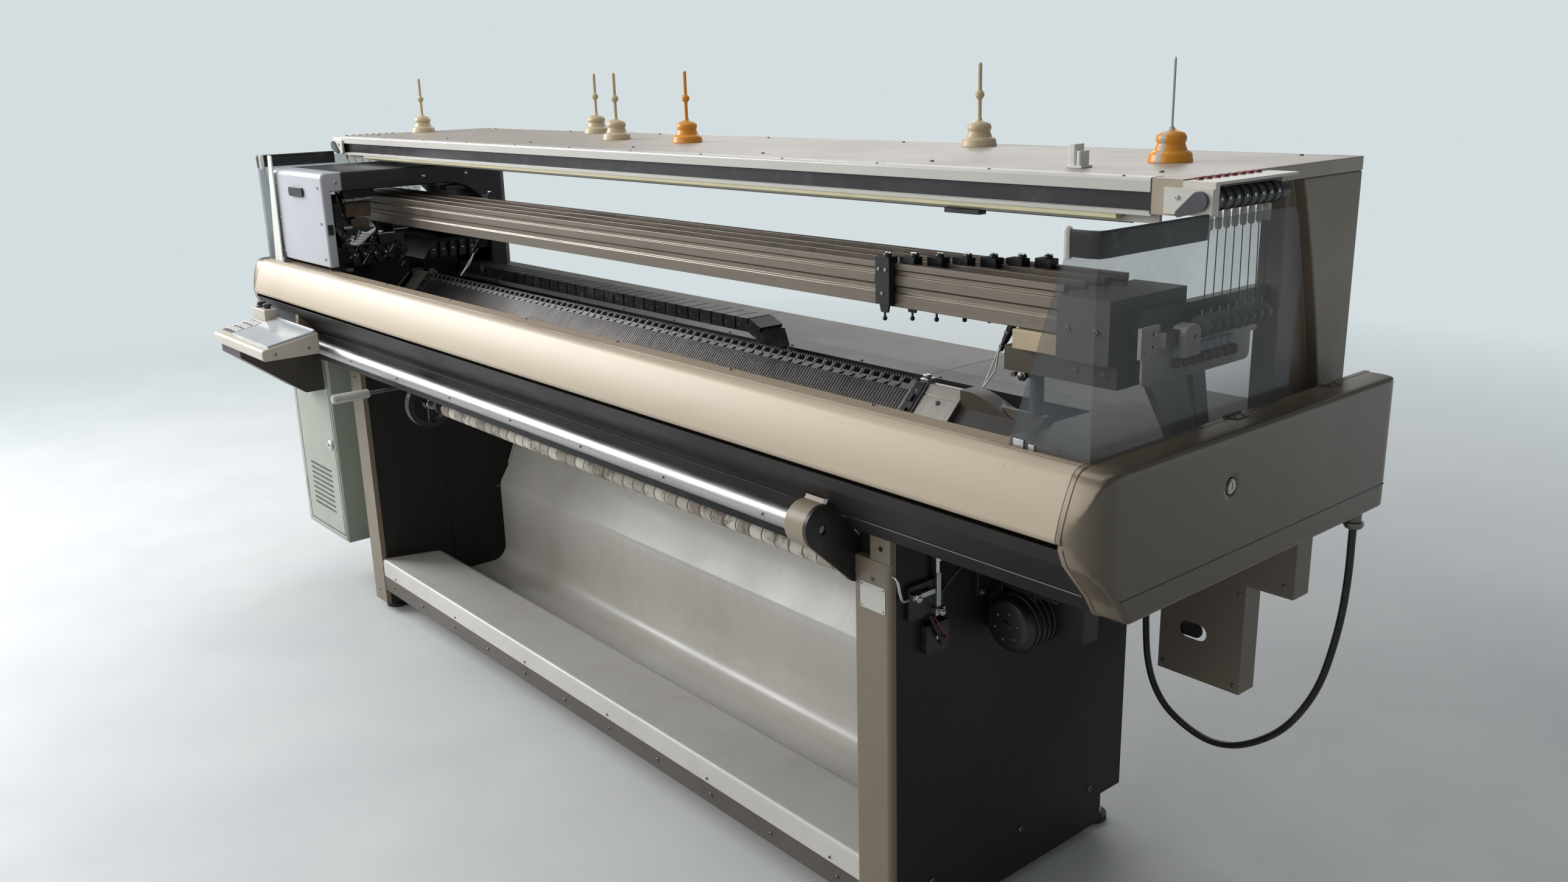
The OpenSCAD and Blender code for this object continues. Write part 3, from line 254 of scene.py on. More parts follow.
def smoked_sheet(name, tint, alpha):
    """Clear smoked sheet with fine scratches and a film of dust that is denser near its foot."""
    s = Shader(name)
    film = s.noise(6, 7, 0.7, (1, 1, 0.5))
    scratches = s.noise(9, 6, 0.75, (14, 14, 1))
    foot = s.fade(s.axis("Z"), APRON_Z * M, (APRON_Z + 120) * M, alpha + 0.22, alpha - 0.1)
    s.roughness(scratches, 0.05, 0.22)
    s.bump(scratches, 0.03, 0.0003)
    s.set(Base_Color=s.mix(s.fade(film, 0.4, 0.75), tint, scaled(tint, 1.35)), Specular_IOR_Level=0.35,
          Alpha=s.math("MAXIMUM", s.fade(film, 0.35, 0.75, alpha - 0.06, alpha + 0.1), foot))


def roller_look():
    """Dirty rubber segments that differ from one to the next, between black metal ends."""
    s = Shader("roller")
    step = s.math("FLOOR", s.math("DIVIDE", s.axis("X"), SEGMENT * M))
    shade = s.node("TexWhiteNoise", {"W": step}, noise_dimensions="1D").outputs["Value"]
    base = s.mix(s.fade(shade, 0.1, 0.95), (660, 620, 530), (300, 250, 190))
    base = s.mix(s.fade(s.noise(24, 8, 0.72), 0.5, 0.62, 0, 0.9), base, (100, 65, 45))
    base = s.mix(s.fade(s.noise(3, 5, 0.6), 0.54, 0.66, 0, 0.6), base, (270, 230, 180))
    s.set(Base_Color=s.mix(s.zone({"X": (-1000, ROLLER_X0)}), base, (20, 20, 22)))
    s.roughness(s.noise(15), 0.45, 0.7)
    s.bump(s.noise(240, 3), 0.25, 0.0006)


def opening_shade_look():
    """Painted shade: dull black patches that stand for the dark inside openings, with a trace of dust."""
    s = Shader("painted_opening_shade")
    dust = s.fade(s.noise(40, 4), 0.6, 0.8)
    s.set(Base_Color=s.mix(dust, (3, 3, 3), (12, 11, 10)), Roughness=0.9,
          Specular_IOR_Level=0.05)


def apron_look():
    """Satin bronze paint with soft bands along the apron, a duller strip, and dirt with painted shade in its
    groove.
    """
    s = Shader("apron")
    bands = s.noise(3, 2, 0.5, (0.12, 3, 3))
    base = s.mix(s.fade(bands, 0.3, 0.7), (430, 350, 255), (500, 410, 305))
    base = s.mix(s.zone({"Y": (-262, -100), "Z": (998.5, 1100)}), base, (340, 265, 190))
    # Dirt and painted shade: the groove is painted darker, more in some places than in others.
    groove = s.zone({"Y": (-274.5, -261.5), "Z": (985, 1100)})
    groove_dirt_and_shade = s.fade(s.noise(5, 6, 0.65, (0.4, 2, 2)), 0.42, 0.62, 0.15, 0.8)
    base = s.mix(s.math("MULTIPLY", groove, groove_dirt_and_shade), base, (120, 90, 65))
    smudge = s.fade(s.noise(9, 2, 0.5, (0.5, 1, 1)), 0.55, 0.8, 0, 0.18)
    base = s.mix(smudge, base, (280, 220, 155))
    specks = s.fade(s.noise(90, 2), 0.68, 0.8, 0, 0.35)
    s.roughness(bands, 0.43, 0.52)
    s.bump(s.noise(420, 2), 0.08)
    s.set(Base_Color=s.mix(specks, base, (200, 155, 110)), Coat_Weight=0.06, Coat_Roughness=0.3,
          Metallic=0.12)


def cap_look():
    """Bronze paint with painted shade that turns it darker round the corner to the outer side of an end cap.
    """
    s = Shader("cap")
    blotch = s.noise(2.2, 6, 0.65)
    # Painted shade: the outer side of each cap is painted darker than its front.
    painted_shade_side = s.fade(s.math("ABSOLUTE", s.axis("X")), (SEAM_X + 4) * M, (HALF_LEN - 6) * M)
    base = s.mix(painted_shade_side, (300, 238, 168), (115, 92, 67))
    base = s.mix(0.3, base, s.mix(s.fade(blotch, 0.35, 0.7), base, (100, 80, 58)))
    streaks = s.fade(s.noise(5, 8, 0.7, (1, 1, 0.25)), 0.52, 0.8, 0, 0.15)
    s.roughness(blotch, 0.26, 0.4)
    s.bump(s.noise(420, 2), 0.1)
    s.set(Base_Color=s.mix(streaks, base, (70, 55, 40)), Coat_Weight=0.2, Coat_Roughness=0.15,
          Metallic=0.3)


def bed_look():
    """Dark oiled steel with the fine ground lines that run down the slope of the needle beds."""
    s = Shader("bed")
    lines = s.noise(2, 3, 0.6, (420, 6, 6))
    oil = s.noise(6, 7, 0.7)
    base = s.mix(s.fade(lines, 0.3, 0.7), (140, 132, 126), (235, 220, 210))
    s.roughness(oil, 0.26, 0.46)
    s.bump(lines, 0.35)
    s.set(Base_Color=s.mix(s.fade(oil, 0.5, 0.8, 0, 0.4), base, (80, 74, 68)), Metallic=0.9)


BLACK = (12, 12, 13)
SIDE_BAND = {"X": (HALF_TABLE - 38.4, HALF_TABLE - 24.2), "Z": (900, 1107.5)}
OTHER_SIDE_BAND = {"X": (-HALF_TABLE + 24.2, -HALF_TABLE + 38.4), "Z": (900, 1107.5)}

painted("leg_dark", (16, 15, 14), 0.5, 0.18, (60, 55, 45), shine=0.3)
painted("trim", (215, 172, 122), 0.4, 0.3, zones=[
    ({"X": (5 - LEG_IN, LEG_IN - 5)}, (85, 70, 55))])
moulded("foot", BLACK, 0.6)
opening_shade_look()
painted("beam", (24, 22, 21), 0.5, 0.3, (80, 70, 60))
painted("panel", (20, 17.5, 15), 0.5, 0.25, (20, 18, 16), shine=0.25)
painted("rear_panel", (150, 135, 115), 0.42, 0.3, zones=[
    ({"Y": (180, 285), "Z": (850, 1000)}, (20, 18, 16))])
apron_look()
cap_look()
brushed("lock", (400, 400, 390), 0.3)
bed_look()
brushed("needle", (200, 190, 178), 0.38, 1, (120, 4, 4), 0.4)
brushed("sinkers", (140, 133, 126), 0.44, 0.85)
brushed("end_block", (400, 365, 330), 0.36, 0.85, (80, 3, 3), 0.3)
painted("guard", (40, 33, 26), 0.45, 0.35, (140, 120, 100), zones=[
    ({"Y": (-18.5, 18.5), "Z": (MOUTH_Z - 31, MOUTH_Z + 5)}, (75, 58, 42))])
brushed("rail", (235, 195, 160), 0.34, 0.85, (1, 220, 220), 0.35)
painted("rail_bracket", (110, 100, 92), 0.4, 0.25, zones=[
    ({"Z": (1046.5, 1084.9)}, (85, 68, 48)), ({"Z": (950, 1046.5)}, (35, 75, 85))])
moulded("carrier", (11, 11, 12), 0.34, 0.2, zones=[({"Z": (900, 1058)}, (660, 660, 630))])
painted("cover", (500, 510, 545), 0.3, 0.12, (260, 260, 270), coat=0.1)
painted("arch", (26, 25, 28), 0.42, 0.25, (90, 80, 75))
brushed("cam", (22, 22, 24), 0.4, 0.6, (2, 60, 60), 0.3)
moulded("chain", (11, 11, 12), 0.4, 0.35)
painted("table", (420, 375, 325), 0.4, 0.42, (200, 165, 130))
painted("front_rail", (620, 595, 550), 0.28, 0.2, (360, 310, 260), zones=[
    ({"Z": (1296.5, 1322.8)}, (20, 20, 22)), ({"X": (HALF_TABLE - 50, 1600)}, (440, 370, 280))])
moulded("lamp", (800, 750, 480), 0.35, 0.1)
moulded("slider", BLACK, 0.4)
painted("column", (235, 195, 145), 0.38, 0.28, (140, 110, 85))
smoked_sheet("window", (95, 106, 112), 0.33)
moulded("tension", (720, 690, 620), 0.34, 0.25, zones=[
    ({"Y": (NOSE_Y + 11, 1000), "Z": (1296.5, 1336.5)}, (16, 16, 18)),
    ({"Y": (-1000, NOSE_Y - 6.1), "Z": (1200, 1400)}, (75, 75, 85)),
    ({"Z": (900, 1276.5)}, (50, 50, 55))])
moulded("side_tension", (740, 700, 620), 0.34, 0.25, zones=[
    (SIDE_BAND, (200, 165, 120)), (OTHER_SIDE_BAND, (200, 165, 120)),
    ({"Y": (-29.8, 1.8), "Z": (1107, 1133)}, (85, 50, 35)),
    ({"Y": (42.5, 222.5), "Z": (1108.5, 1150)}, (220, 210, 200))])
brushed("steel", (560, 560, 550), 0.26, 1, (30, 30, 30), 0.3)
brushed("dull_steel", (240, 230, 220), 0.38, 1, (30, 30, 30), 0.35)
moulded("plastic_black", BLACK, 0.36, 0.25)
moulded("plastic_grey", (120, 120, 125), 0.42, 0.25)
moulded("plastic_white", (740, 730, 690), 0.34, 0.25)
moulded("plastic_brown", (95, 62, 45), 0.4, 0.25)
moulded("red_knob", (200, 14, 20), 0.3, 0.2)
moulded("teal", (45, 120, 135), 0.36, 0.3)
moulded("blue_pale", (500, 630, 700), 0.34, 0.25)
moulded("ceramic", (840, 820, 750), 0.16, 0.12, 300, 0.03)
moulded("cloth_grey", (620, 620, 640), 0.35, 0.25, 160, 0.3)
painted("label", (550, 540, 500), 0.3, 0.35, (360, 310, 250))
moulded("cone_beige", (580, 470, 300), 0.38, 0.2)
moulded("cone_orange", (780, 310, 25), 0.34, 0.15, zones=[({"X": (1250, 1258.5)}, (450, 440, 420))])
brushed("bar", (420, 410, 400), 0.4, 1, (1, 300, 300), 0.25, zones=[
    ({"Z": (700, 776.5)}, (20, 20, 20))])
painted("arm", (340, 280, 200), 0.36, 0.3, zones=[({"X": (997.1, 1100)}, (14, 13, 12))])
painted("hanger", (50, 46, 42), 0.45, 0.3)
moulded("lever", (500, 490, 460), 0.3, 0.2, zones=[({"Y": (-345, -100)}, (100, 100, 100))])
painted("receiver", (600, 575, 530), 0.32, 0.3, (340, 290, 230))
painted("console", (580, 530, 450), 0.36, 0.3, (320, 270, 210))
moulded("lid", (500, 530, 550), 0.14, 0.15, 500, 0.03)
painted("support", (60, 52, 44), 0.45, 0.3)
painted("cabinet", (340, 370, 310), 0.4, 0.3, (220, 210, 170))
painted("motor", (14, 14, 16), 0.42, 0.35, (60, 55, 50))
painted("box", (200, 168, 130), 0.38, 0.3, (130, 105, 80))
moulded("cable", (10, 10, 10), 0.42, 0.25, 900, 0.06)
roller_look()


# Mesh helpers
parts = []


def add_object(name, data, look, body):
    made = bpy.data.objects.new(name, data)
    scene.collection.objects.link(made)
    data.materials.append(looks[look])
    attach(made, body)
    return made


def finish_mesh(name, bm, look, body, bevel, sharp=32):
    """Turns a bmesh into a piece with rounded edges and smooth curved faces."""
    mesh = bpy.data.meshes.new(name)
    bmesh.ops.recalc_face_normals(bm, faces=bm.faces)
    bm.to_mesh(mesh)
    bm.free()
    mesh.shade_smooth()
    mesh.set_sharp_from_angle(angle=math.radians(sharp))
    made = add_object(name, mesh, look, body)
    if bevel:
        fill(made.modifiers.new("bevel", "BEVEL"), width=bevel * M, segments=2, limit_method="ANGLE",
             angle_limit=math.radians(sharp))
        fill(made.modifiers.new("even_normals", "WEIGHTED_NORMAL"), weight=60, keep_sharp=True)
    return made


class Part:
    """Collects shapes in millimetres, which become one named piece on a body at the end."""

    def __init__(self, name, look, bevel=0, body="machine"):
        self.bm = bmesh.new()
        parts.append((name, self.bm, look, body, bevel))

    def ring(self, points):
        return [self.bm.verts.new(Vector(p) * M) for p in points]

    def join(self, rings):
        """Faces between rings of points, where a ring of one point is a tip."""
        for a, b in zip(rings, rings[1:]):
            for k in range(max(len(a), len(b))):
                quad = [a[k % len(a)], a[(k + 1) % len(a)], b[(k + 1) % len(b)], b[k % len(b)]]
                self.bm.faces.new(list(dict.fromkeys(quad)))

    def tube(self, rings):
        """Rings of points joined to a closed shape with flat ends."""
        rings = [self.ring(points) for points in rings]
        self.join(rings)
        self.bm.faces.new(rings[0][::-1])
        self.bm.faces.new(rings[-1])

    def cell(self, a, b, place=None):
        """A block between two corners, each corner put where place says."""
        spots = list(product(*zip(a, b)))
        corners = self.ring(place(*p) for p in spots) if place else self.ring(spots)
        for face in ((0, 1, 3, 2), (4, 6, 7, 5), (0, 4, 5, 1), (2, 3, 7, 6), (0, 2, 6, 4), (1, 5, 7, 3)):
            self.bm.faces.new([corners[i] for i in face])

    def cells(self, *pairs):
        for a, b in pairs:
            self.cell(a, b)

    def lathe(self, profile, at, axis=UP, sides=24):
        """Rings of radius and height about an axis, closed by a point where the radius is zero."""
        turn = Vector(axis).to_track_quat("Z", "Y").to_matrix()
        rings = []
        for r, h in profile:
            angles = [2 * math.pi * k / sides for k in range(sides if r else 1)]
            points = [Vector((r * math.cos(a), r * math.sin(a), h)) for a in angles]
            rings.append(self.ring(Vector(at) + turn @ p for p in points))
        self.join(rings)

    def rod(self, a, b, r, sides=20, top=None):
        axis = Vector(b) - Vector(a)
        tip = r if top is None else top
        self.lathe([(0, 0), (r, 0), (tip, axis.length), (0, axis.length)], a, axis, sides)

    def screw(self, at, axis, r=4):
        """A domed screw head with a socket in it."""
        self.lathe([(0, -0.5), (r, -0.5), (r, r * 0.35), (r * 0.8, r * 0.62), (r * 0.46, r * 0.66),
                    (r * 0.42, r * 0.25), (0, r * 0.2)], at, axis, 18)

    def screws(self, xs, ys, zs, axis, r=4):
        """Screws at all combinations of the given places."""
        for at in product(xs, ys, zs):
            self.screw(at, axis, r)

    def nut(self, at, axis, r=9, h=7):
        """A hexagon nut with the rounded end of its stud."""
        self.lathe([(0, 0), (r, 0), (r, h * 0.9), (r * 0.86, h), (0, h)], at, axis, 6)
        tip = Vector(at) + Vector(axis).normalized() * h
        self.lathe([(0, -1), (r * 0.5, -1), (r * 0.5, h * 0.4), (r * 0.35, h * 0.55), (0, h * 0.6)],
                   tip, axis, 16)

    def plate(self, outline, axis, start, end):
        """An outline of two coordinates, extruded along an axis."""
        slot = "XYZ".index(axis)
        self.tube([[(*p[:slot], w, *p[slot:]) for p in outline] for w in (start, end)])


def rounded(a, b, r):
    """Outline of a rectangle between two corners, with round corners of five steps."""
    centres = ((b[0] - r, b[1] - r), (a[0] + r, b[1] - r), (a[0] + r, a[1] + r), (b[0] - r, a[1] + r))
    line = []
    for quarter, (x, y) in enumerate(centres):
        for k in range(6):
            angle = math.radians(90 * quarter + 18 * k)
            line.append((x + r * math.cos(angle), y + r * math.sin(angle)))
    return line


def spread(count, half):
    """Even places from minus half to plus half."""
    return [-half + 2 * half * k / (count - 1) for k in range(count)]


def smooth_line(points, fine=6):
    """Points on the smooth curve through a route, as the CAD source works them out."""
    route = [Vector(p) for p in points]
    line = []
    for k in range((len(route) - 1) * fine + 1):
        i = min(k // fine, len(route) - 2)
        u = k / fine - i
        a, b, c, d = route[max(i - 1, 0)], route[i], route[i + 1], route[min(i + 2, len(route) - 1)]
        line.append(0.5 * (2 * b + (c - a) * u + (2 * a - 5 * b + 4 * c - d) * u * u
                           + (3 * b - a - 3 * c + d) * u ** 3))
    return line


def add_tubes(name, lines, radius, look, body="machine", sides=3):
    """Round tubes along lines given in millimetres, as one curve piece."""
    data = fill(bpy.data.curves.new(name, "CURVE"), dimensions="3D", bevel_depth=radius * M,
                bevel_resolution=sides, use_fill_caps=True)
    for points in lines:
        spline = data.splines.new("POLY")
        spline.points.add(len(points) - 1)
        for point, at in zip(spline.points, points):
            point.co = (*(Vector(at) * M), 1)
        spline.use_smooth = True
    return add_object(name, data, look, body)


def coil(centre, r, length, turns, steps):
    """Points along a helix that starts at its centre and runs along Y."""
    line = []
    for k in range(turns * steps + 1):
        angle = 2 * math.pi * k / steps
        along = length * k / (turns * steps)
        line.append(Vector(centre) + Vector((r * math.cos(angle), along, r * math.sin(angle))))
    return line


# The cable at the rear right, a free loop between two glands
CABLE_ROUTE = [
    (1150, 720), (1150, 706), (1150, 690), (1142, 645), (1131, 595), (1124, 540), (1122, 480), (1125, 420),
    (1132, 370), (1148, 325), (1178, 287), (1225, 262), (1275, 252), (1325, 262), (1375, 292), (1420, 335),
    (1455, 390), (1480, 450), (1496, 520), (1506, 590), (1510, 660), (1510, 710), (1510, 750)]
CABLE_Y = 440
CABLE_R = 6.5


def add_cable():
    line = [Vector((x, CABLE_Y, z)) for x, z in smooth_line(CABLE_ROUTE, 4)]
    cable = add_tubes("loop_cable", [line], CABLE_R, "cable")
    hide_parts("power_cable")


add_cable()


# CAD nodes: the look of each, the rounded edges of the copy that replaces it, and its body where it moves
NODES = [
    ("leg_dark", 2, "left_leg right_leg"), ("trim", 1, "front_trims"), ("foot", 0.8, "levelling_feet"),
    ("beam", 1, "main_beam"), ("panel", 0.5, "under_panel"), ("apron", 1.2, "front_apron"),
    ("rear_panel", 0.6, "rear_cover"), ("cap", 0, "left_end_cap right_end_cap"),
    ("end_block", 0.8, "bed_end_blocks"), ("guard", 1, "end_guards"), ("rail", 0.6, "yarn_rails"),
    ("rail_bracket", 1.5, "rail_brackets"), ("cover", 4, "carriage_front_cover", "carriage"),
    ("arch", 3, "carriage_arch", "carriage"),
    ("cam", 1.5, "carriage_front_cam carriage_rear_cam", "carriage"),
    ("chain", 0.8, "cable_chain"), ("table", 1.6, "yarn_table"), ("front_rail", 0.8, "table_front_rail"),
    ("lamp", 0.4, "lamp_strip"), ("slider", 0.8, "hood_slider", "slider"),
    ("column", 3, "left_column right_column"), ("window", 0.8, "left_window right_window"),
    ("tension", 0.5, "left_top_tension right_top_tension"),
    ("side_tension", 0.5, "left_side_tension right_side_tension"), ("cone_beige", 0.6, "cone_holders"),
    ("cone_orange", 0.6, "orange_cone_holders"), ("bar", 0.8, "control_bar", "bar"), ("arm", 1, "bar_arms"),
    ("roller", 0.5, "take_down_roller", "roller"), ("hanger", 0.8, "roller_brackets"),
    ("lever", 0.6, "release_lever", "lever"), ("receiver", 0.4, "cloth_receiver"),
    ("console", 2.5, "console_body"), ("lid", 1.2, "console_lid", "lid"), ("support", 1, "console_bracket"),
    ("cabinet", 2, "control_cabinet"), ("motor", 1.5, "drive_motor"), ("box", 0.8, "rear_box"),
]
NODES += [("carrier", 0.8, f"yarn_carrier_{number}", f"carrier_{number}") for number in range(1, 9)]
BARE_NODES = {
    "lock": "left_cap_lock right_cap_lock", "bed": "front_needle_bed rear_needle_bed",
    "sinkers": "front_sinker_strip rear_sinker_strip", "cable": "power_cable",
}


def paint(node, look):
    mesh = nodes[node].data
    mesh.materials.clear()
    mesh.materials.append(looks[look])


def whole_faces(node):
    """The mesh of a CAD node, with its triangles merged to flat faces."""
    bm = bmesh.new()
    bm.from_mesh(nodes[node].data)
    bmesh.ops.remove_doubles(bm, verts=bm.verts, dist=2e-5)
    bmesh.ops.dissolve_limit(bm, angle_limit=math.radians(0.5), verts=bm.verts, edges=bm.edges)
    return bm


def soften(cap):
    """Rounds the moulded corners of an end cap, kept a little inside its CAD faces."""
    fill(cap.modifiers.new("fine", "REMESH"), mode="VOXEL", voxel_size=4 * M, use_smooth_shade=True)
    fill(cap.modifiers.new("smooth", "SMOOTH"), factor=0.5, iterations=14)
    fill(cap.modifiers.new("inset", "DISPLACE"), strength=-0.6 * M, mid_level=0)


for look, bevel, names, *body in NODES:
    for name in names.split():
        paint(name, look)
        skin = finish_mesh(name + "_skin", whole_faces(name), look, *(body or ["machine"]), bevel,
                           42 if look == "cap" else 30)
        if look == "cap":
            soften(skin)
        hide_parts(name)
for look, names in BARE_NODES.items():
    for name in names.split():
        paint(name, look)


# Needles and sinkers
SLOT_PITCH = 7.25
SLOTS = int((2 * HALF_BED - SLOT_PITCH) / SLOT_PITCH)
HALF_NEEDLE = 0.65
RIB_SHARES = (0.28, 0.5, 0.72)
WINDOW_PITCH = 25.4
WINDOWS = int(2 * HALF_BED / WINDOW_PITCH)


def on_bed(side):
    """Puts X, distance down the slope and height above it on one needle bed."""
    def place(x, down, above):
        return x, side * (CREST + (down + above) * ROOT), MOUTH_Z + (above - down) * ROOT
    return place


def add_needles(side, name):
    place = on_bed(side)
    needles = Part("needles_" + name, "needle")
    ribs = Part("bed_ribs_" + name, "bed")
    teeth = Part("sinker_teeth_" + name, "steel")
    for i in range(SLOTS):
        x = (i - (SLOTS - 1) / 2) * SLOT_PITCH
        reach = rng.choice((0, 0, 0, 1.5, 3))
        for start, end, foot, head in ((24 - reach, 166, -2.8, -0.5), (84 - reach, 90 - reach, -2, 2.6),
                                       (128 - reach, 136 - reach, -2, 3.4)):
            needles.cell((x - HALF_NEEDLE, start, foot), (x + HALF_NEEDLE, end, head), place)
        if i < SLOTS - 1:
            for share in RIB_SHARES:
                middle = x + SLOT_PITCH * share
                ribs.cell((middle - 0.42, 21, -0.3), (middle + 0.42, 168, 0.7), place)
        teeth.cell((x - 0.4, -2.2, -3.5), (x + 0.4, 5, 0.5), place)
    # Painted shade: black patches stand for the dark inside the windows of the sinker strip.
    gaps = Part("mouth_window_shade_" + name, "painted_opening_shade")
    tabs = Part("mouth_tabs_" + name, "sinkers", 0.3)
    for i in range(WINDOWS):
        x = (i - (WINDOWS - 1) / 2) * WINDOW_PITCH
        gaps.cell((x - 7.2, 0.5, -0.2), (x + 7.2, 9.5, 0.9), place)
        if i < WINDOWS - 1:
            tabs.cell((x + 10.7, 2, -0.2), (x + 14.7, 14, 1), place)


def add_bed_fittings():
    """Screws of the end gibs and the end blocks, and the clamp bars along the lower bed edges."""
    screws = Part("bed_screws", "dull_steel")
    bars = Part("bed_clamp_bars", "sinkers", 0.4)
    blacks = Part("bed_end_strips", "plastic_black", 0.5)
    clips = Part("bed_end_clips", "steel", 1)
    z = MOUTH_Z
    for end in (-1, 1):
        clips.cell((end * (HALF_BED + 10), -9, z - 1), (end * (HALF_BED + 28), 12, z + 7))
        clips.cell((end * (HALF_BED + 13), -6, z + 7), (end * (HALF_BED + 24), 6, z + 13))
    for side in (-1, 1):
        place = on_bed(side)
        normal = (0, side * ROOT, ROOT)
        for end in (-1, 1):
            for down in (20, 66):
                screws.screw(place(end * (HALF_BED + 15), down, 2.8), normal, 3.6)
            for down in (34, 88, 140):
                screws.screw(place(end * (HALF_BED + 69), down, 0), normal, 4.4)
            blacks.cell((end * (HALF_BED + 3), 3, 2.4), (end * (HALF_BED + 25), 168, 4.6), place)
            for down in (30, 58, 96, 130):
                blacks.cell((end * (HALF_BED + 6), down, 4.6), (end * (HALF_BED + 18), down + 14, 8.5), place)
        bars.cell((1 - HALF_BED, 150, 0.75), (HALF_BED - 1, 164, 3), place)
        for x in spread(18, HALF_BED - 40):
            screws.screw(place(x, 157, 3), normal, 3.2)


# Carriage: cams, levers, solenoids and loose cables that show inside the arch
def add_carriage_parts():
    x0 = CARRIAGE_X0 + 14
    x1 = CARRIAGE_X1
    plates = Part("carriage_cam_plates", "dull_steel", 0.5, "carriage")
    blacks = Part("carriage_levers", "plastic_black", 1, "carriage")
    solenoids = Part("carriage_solenoids", "plastic_grey", 0.6, "carriage")
    bright = Part("carriage_fittings", "steel", body="carriage")
    for side in (-1, 1):
        place = on_bed(side)
        plates.cell((x0, 20, 16), (x1 - 2, 104, 19), place)
        for k in range(6):
            x = x0 + 20 + k * 58
            plates.cell((x, 34, 13.5), (x + 30, 48, 16.2), place)
            plates.cell((x + 14, 78, 13.5), (x + 40, 90, 16.2), place)
            bright.screw(place(x + 15, 41, 19), (0, side * ROOT, ROOT), 4)
            bright.screw(place(x + 27, 84, 19), (0, side * ROOT, ROOT), 4)
    for k in range(7):
        x = x0 + 16 + k * 48
        solenoids.rod((x, -150, 1060), (x, -150, 1084), 11)
        solenoids.cell((x - 13, -166, 1084), (x + 13, -134, 1089))
        bright.rod((x, -150, 1089), (x, -150, 1098), 3.2)
    for k in range(4):
        y = -196 + k * 26
        lean = 8 * k
        blacks.plate([(y, 1058), (y + 16, 1058), (y + 30 + lean, 1012 + 4 * k),
                      (y + 14 + lean, 1006 + 4 * k)], "X", x1 - 12, x1 - 2)
        bright.screw((x1 - 2, y + 14 + lean / 2, 1040), RIGHT, 3.4)
    blacks.cells(((x1 - 60, -200, 1062), (x1 - 4, -112, 1068)), ((x1 - 46, -196, 1096), (x1 - 6, -116, 1112)),
                 ((x0 + 10, -196, 1096), (x0 + 190, -120, 1106)),
                 ((x1 - 40, -224, 1120), (x1 - 6, -204, 1180)), ((x0 + 20, 118, 1064), (x1 - 34, 190, 1074)))
    bright.cell((x1 - 44, -200, 1112), (x1 - 14, -176, 1118))
    bright.rod((x1 - 150, -158, 1102), (x1 - 4, -158, 1102), 4)
    bright.rod((x1 - 200, -206, 1150), (x1 - 8, -206, 1150), 5)
    for k in range(5):
        x = x0 + 30 + k * 62
        solenoids.rod((x, 150, 1074), (x, 150, 1092), 10)


JACKS = 34


def add_carriage_clutter():
    """Levers, jacks, springs and boxes crowded on the cam faces that look at the working end."""
    blacks = Part("carriage_jacks", "plastic_black", 0.8, "carriage")
    bright = Part("carriage_springs", "steel", body="carriage")
    dull = Part("carriage_pins", "dull_steel", 0.4, "carriage")
    x = CARRIAGE_X1 - 8
    for k in range(JACKS):
        y = rng.uniform(-216, -40)
        z = 1000 + rng.uniform(0, 78) - (y + 130) * 0.16
        tall = rng.uniform(16, 46)
        if y > -152:
            z = min(z, 1040)
        lean = rng.uniform(0.35, 0.9) * tall
        wide = rng.uniform(5, 13)
        out = x + rng.uniform(-8, 5)
        blacks.plate([(y, z), (y + wide, z - 3), (y + wide + lean, z + tall - 3), (y + lean, z + tall)],
                     "X", out - 10, out)
        if k % 3 == 0:
            foot = y + wide * 0.6
            bright.rod((out, foot, z + 3), (out, foot + lean * 0.8, z + tall * 0.8), rng.uniform(1, 2.4), 8)
        elif k % 3 == 1:
            v, w = y + lean * 0.5, z + tall * 0.4
            dull.cell((out - 2, v, w), (out + 2, v + 9, w + 5))
        elif k % 5 == 0:
            bright.screw((out, y + wide / 2 + lean / 2, z + tall / 2), RIGHT, 3.4)
    for k in range(7):
        elbow = (x - 14 - 2 * k, -128 + 15 * k, 1052)
        blacks.rod((x - 50 - 9 * k, -150 + 14 * k, 1082), elbow, 4.5, 10)
        bright.rod(elbow, (x - 4, -120 + 15 * k, 1040), 1.8, 8)
    for k in range(5):
        y = 40 + 30 * k
        blacks.plate([(y, 1006 - k), (y + 22, 1010), (y + 16, 1052), (y + 4, 1052)], "X", x - 6, x + 4)
        bright.screw((x + 4, y + 11, 1030), RIGHT, 3.2)
    blacks.cells(((x - 46, -102, 1052), (x - 6, -30, 1088)), ((x - 40, -190, 1192), (x - 4, -104, 1214)),
                 ((x - 52, 112, 1192), (x - 8, 190, 1206)))
    bright.cells(((x - 36, -92, 1088), (x - 12, -52, 1091)), ((x - 18, -205, 996), (x - 2, -188, 1004)))
    for k in range(4):
        dull.rod((x - 30, -184 + 24 * k, 1178), (x - 30, -184 + 24 * k, 1208), 5, 12)
    for k in range(3):
        y = -192 + 28 * k
        bright.cell((x - 4, y, 1186 + k), (x + 2, y + 24, 1192 + k))
    boxes = Part("carriage_boxes", "plastic_brown", 2, "carriage")
    boxes.cells(((x - 60, -188, 1142), (x - 6, -118, 1180)), ((x - 58, -176, 1108), (x - 8, -126, 1136)))


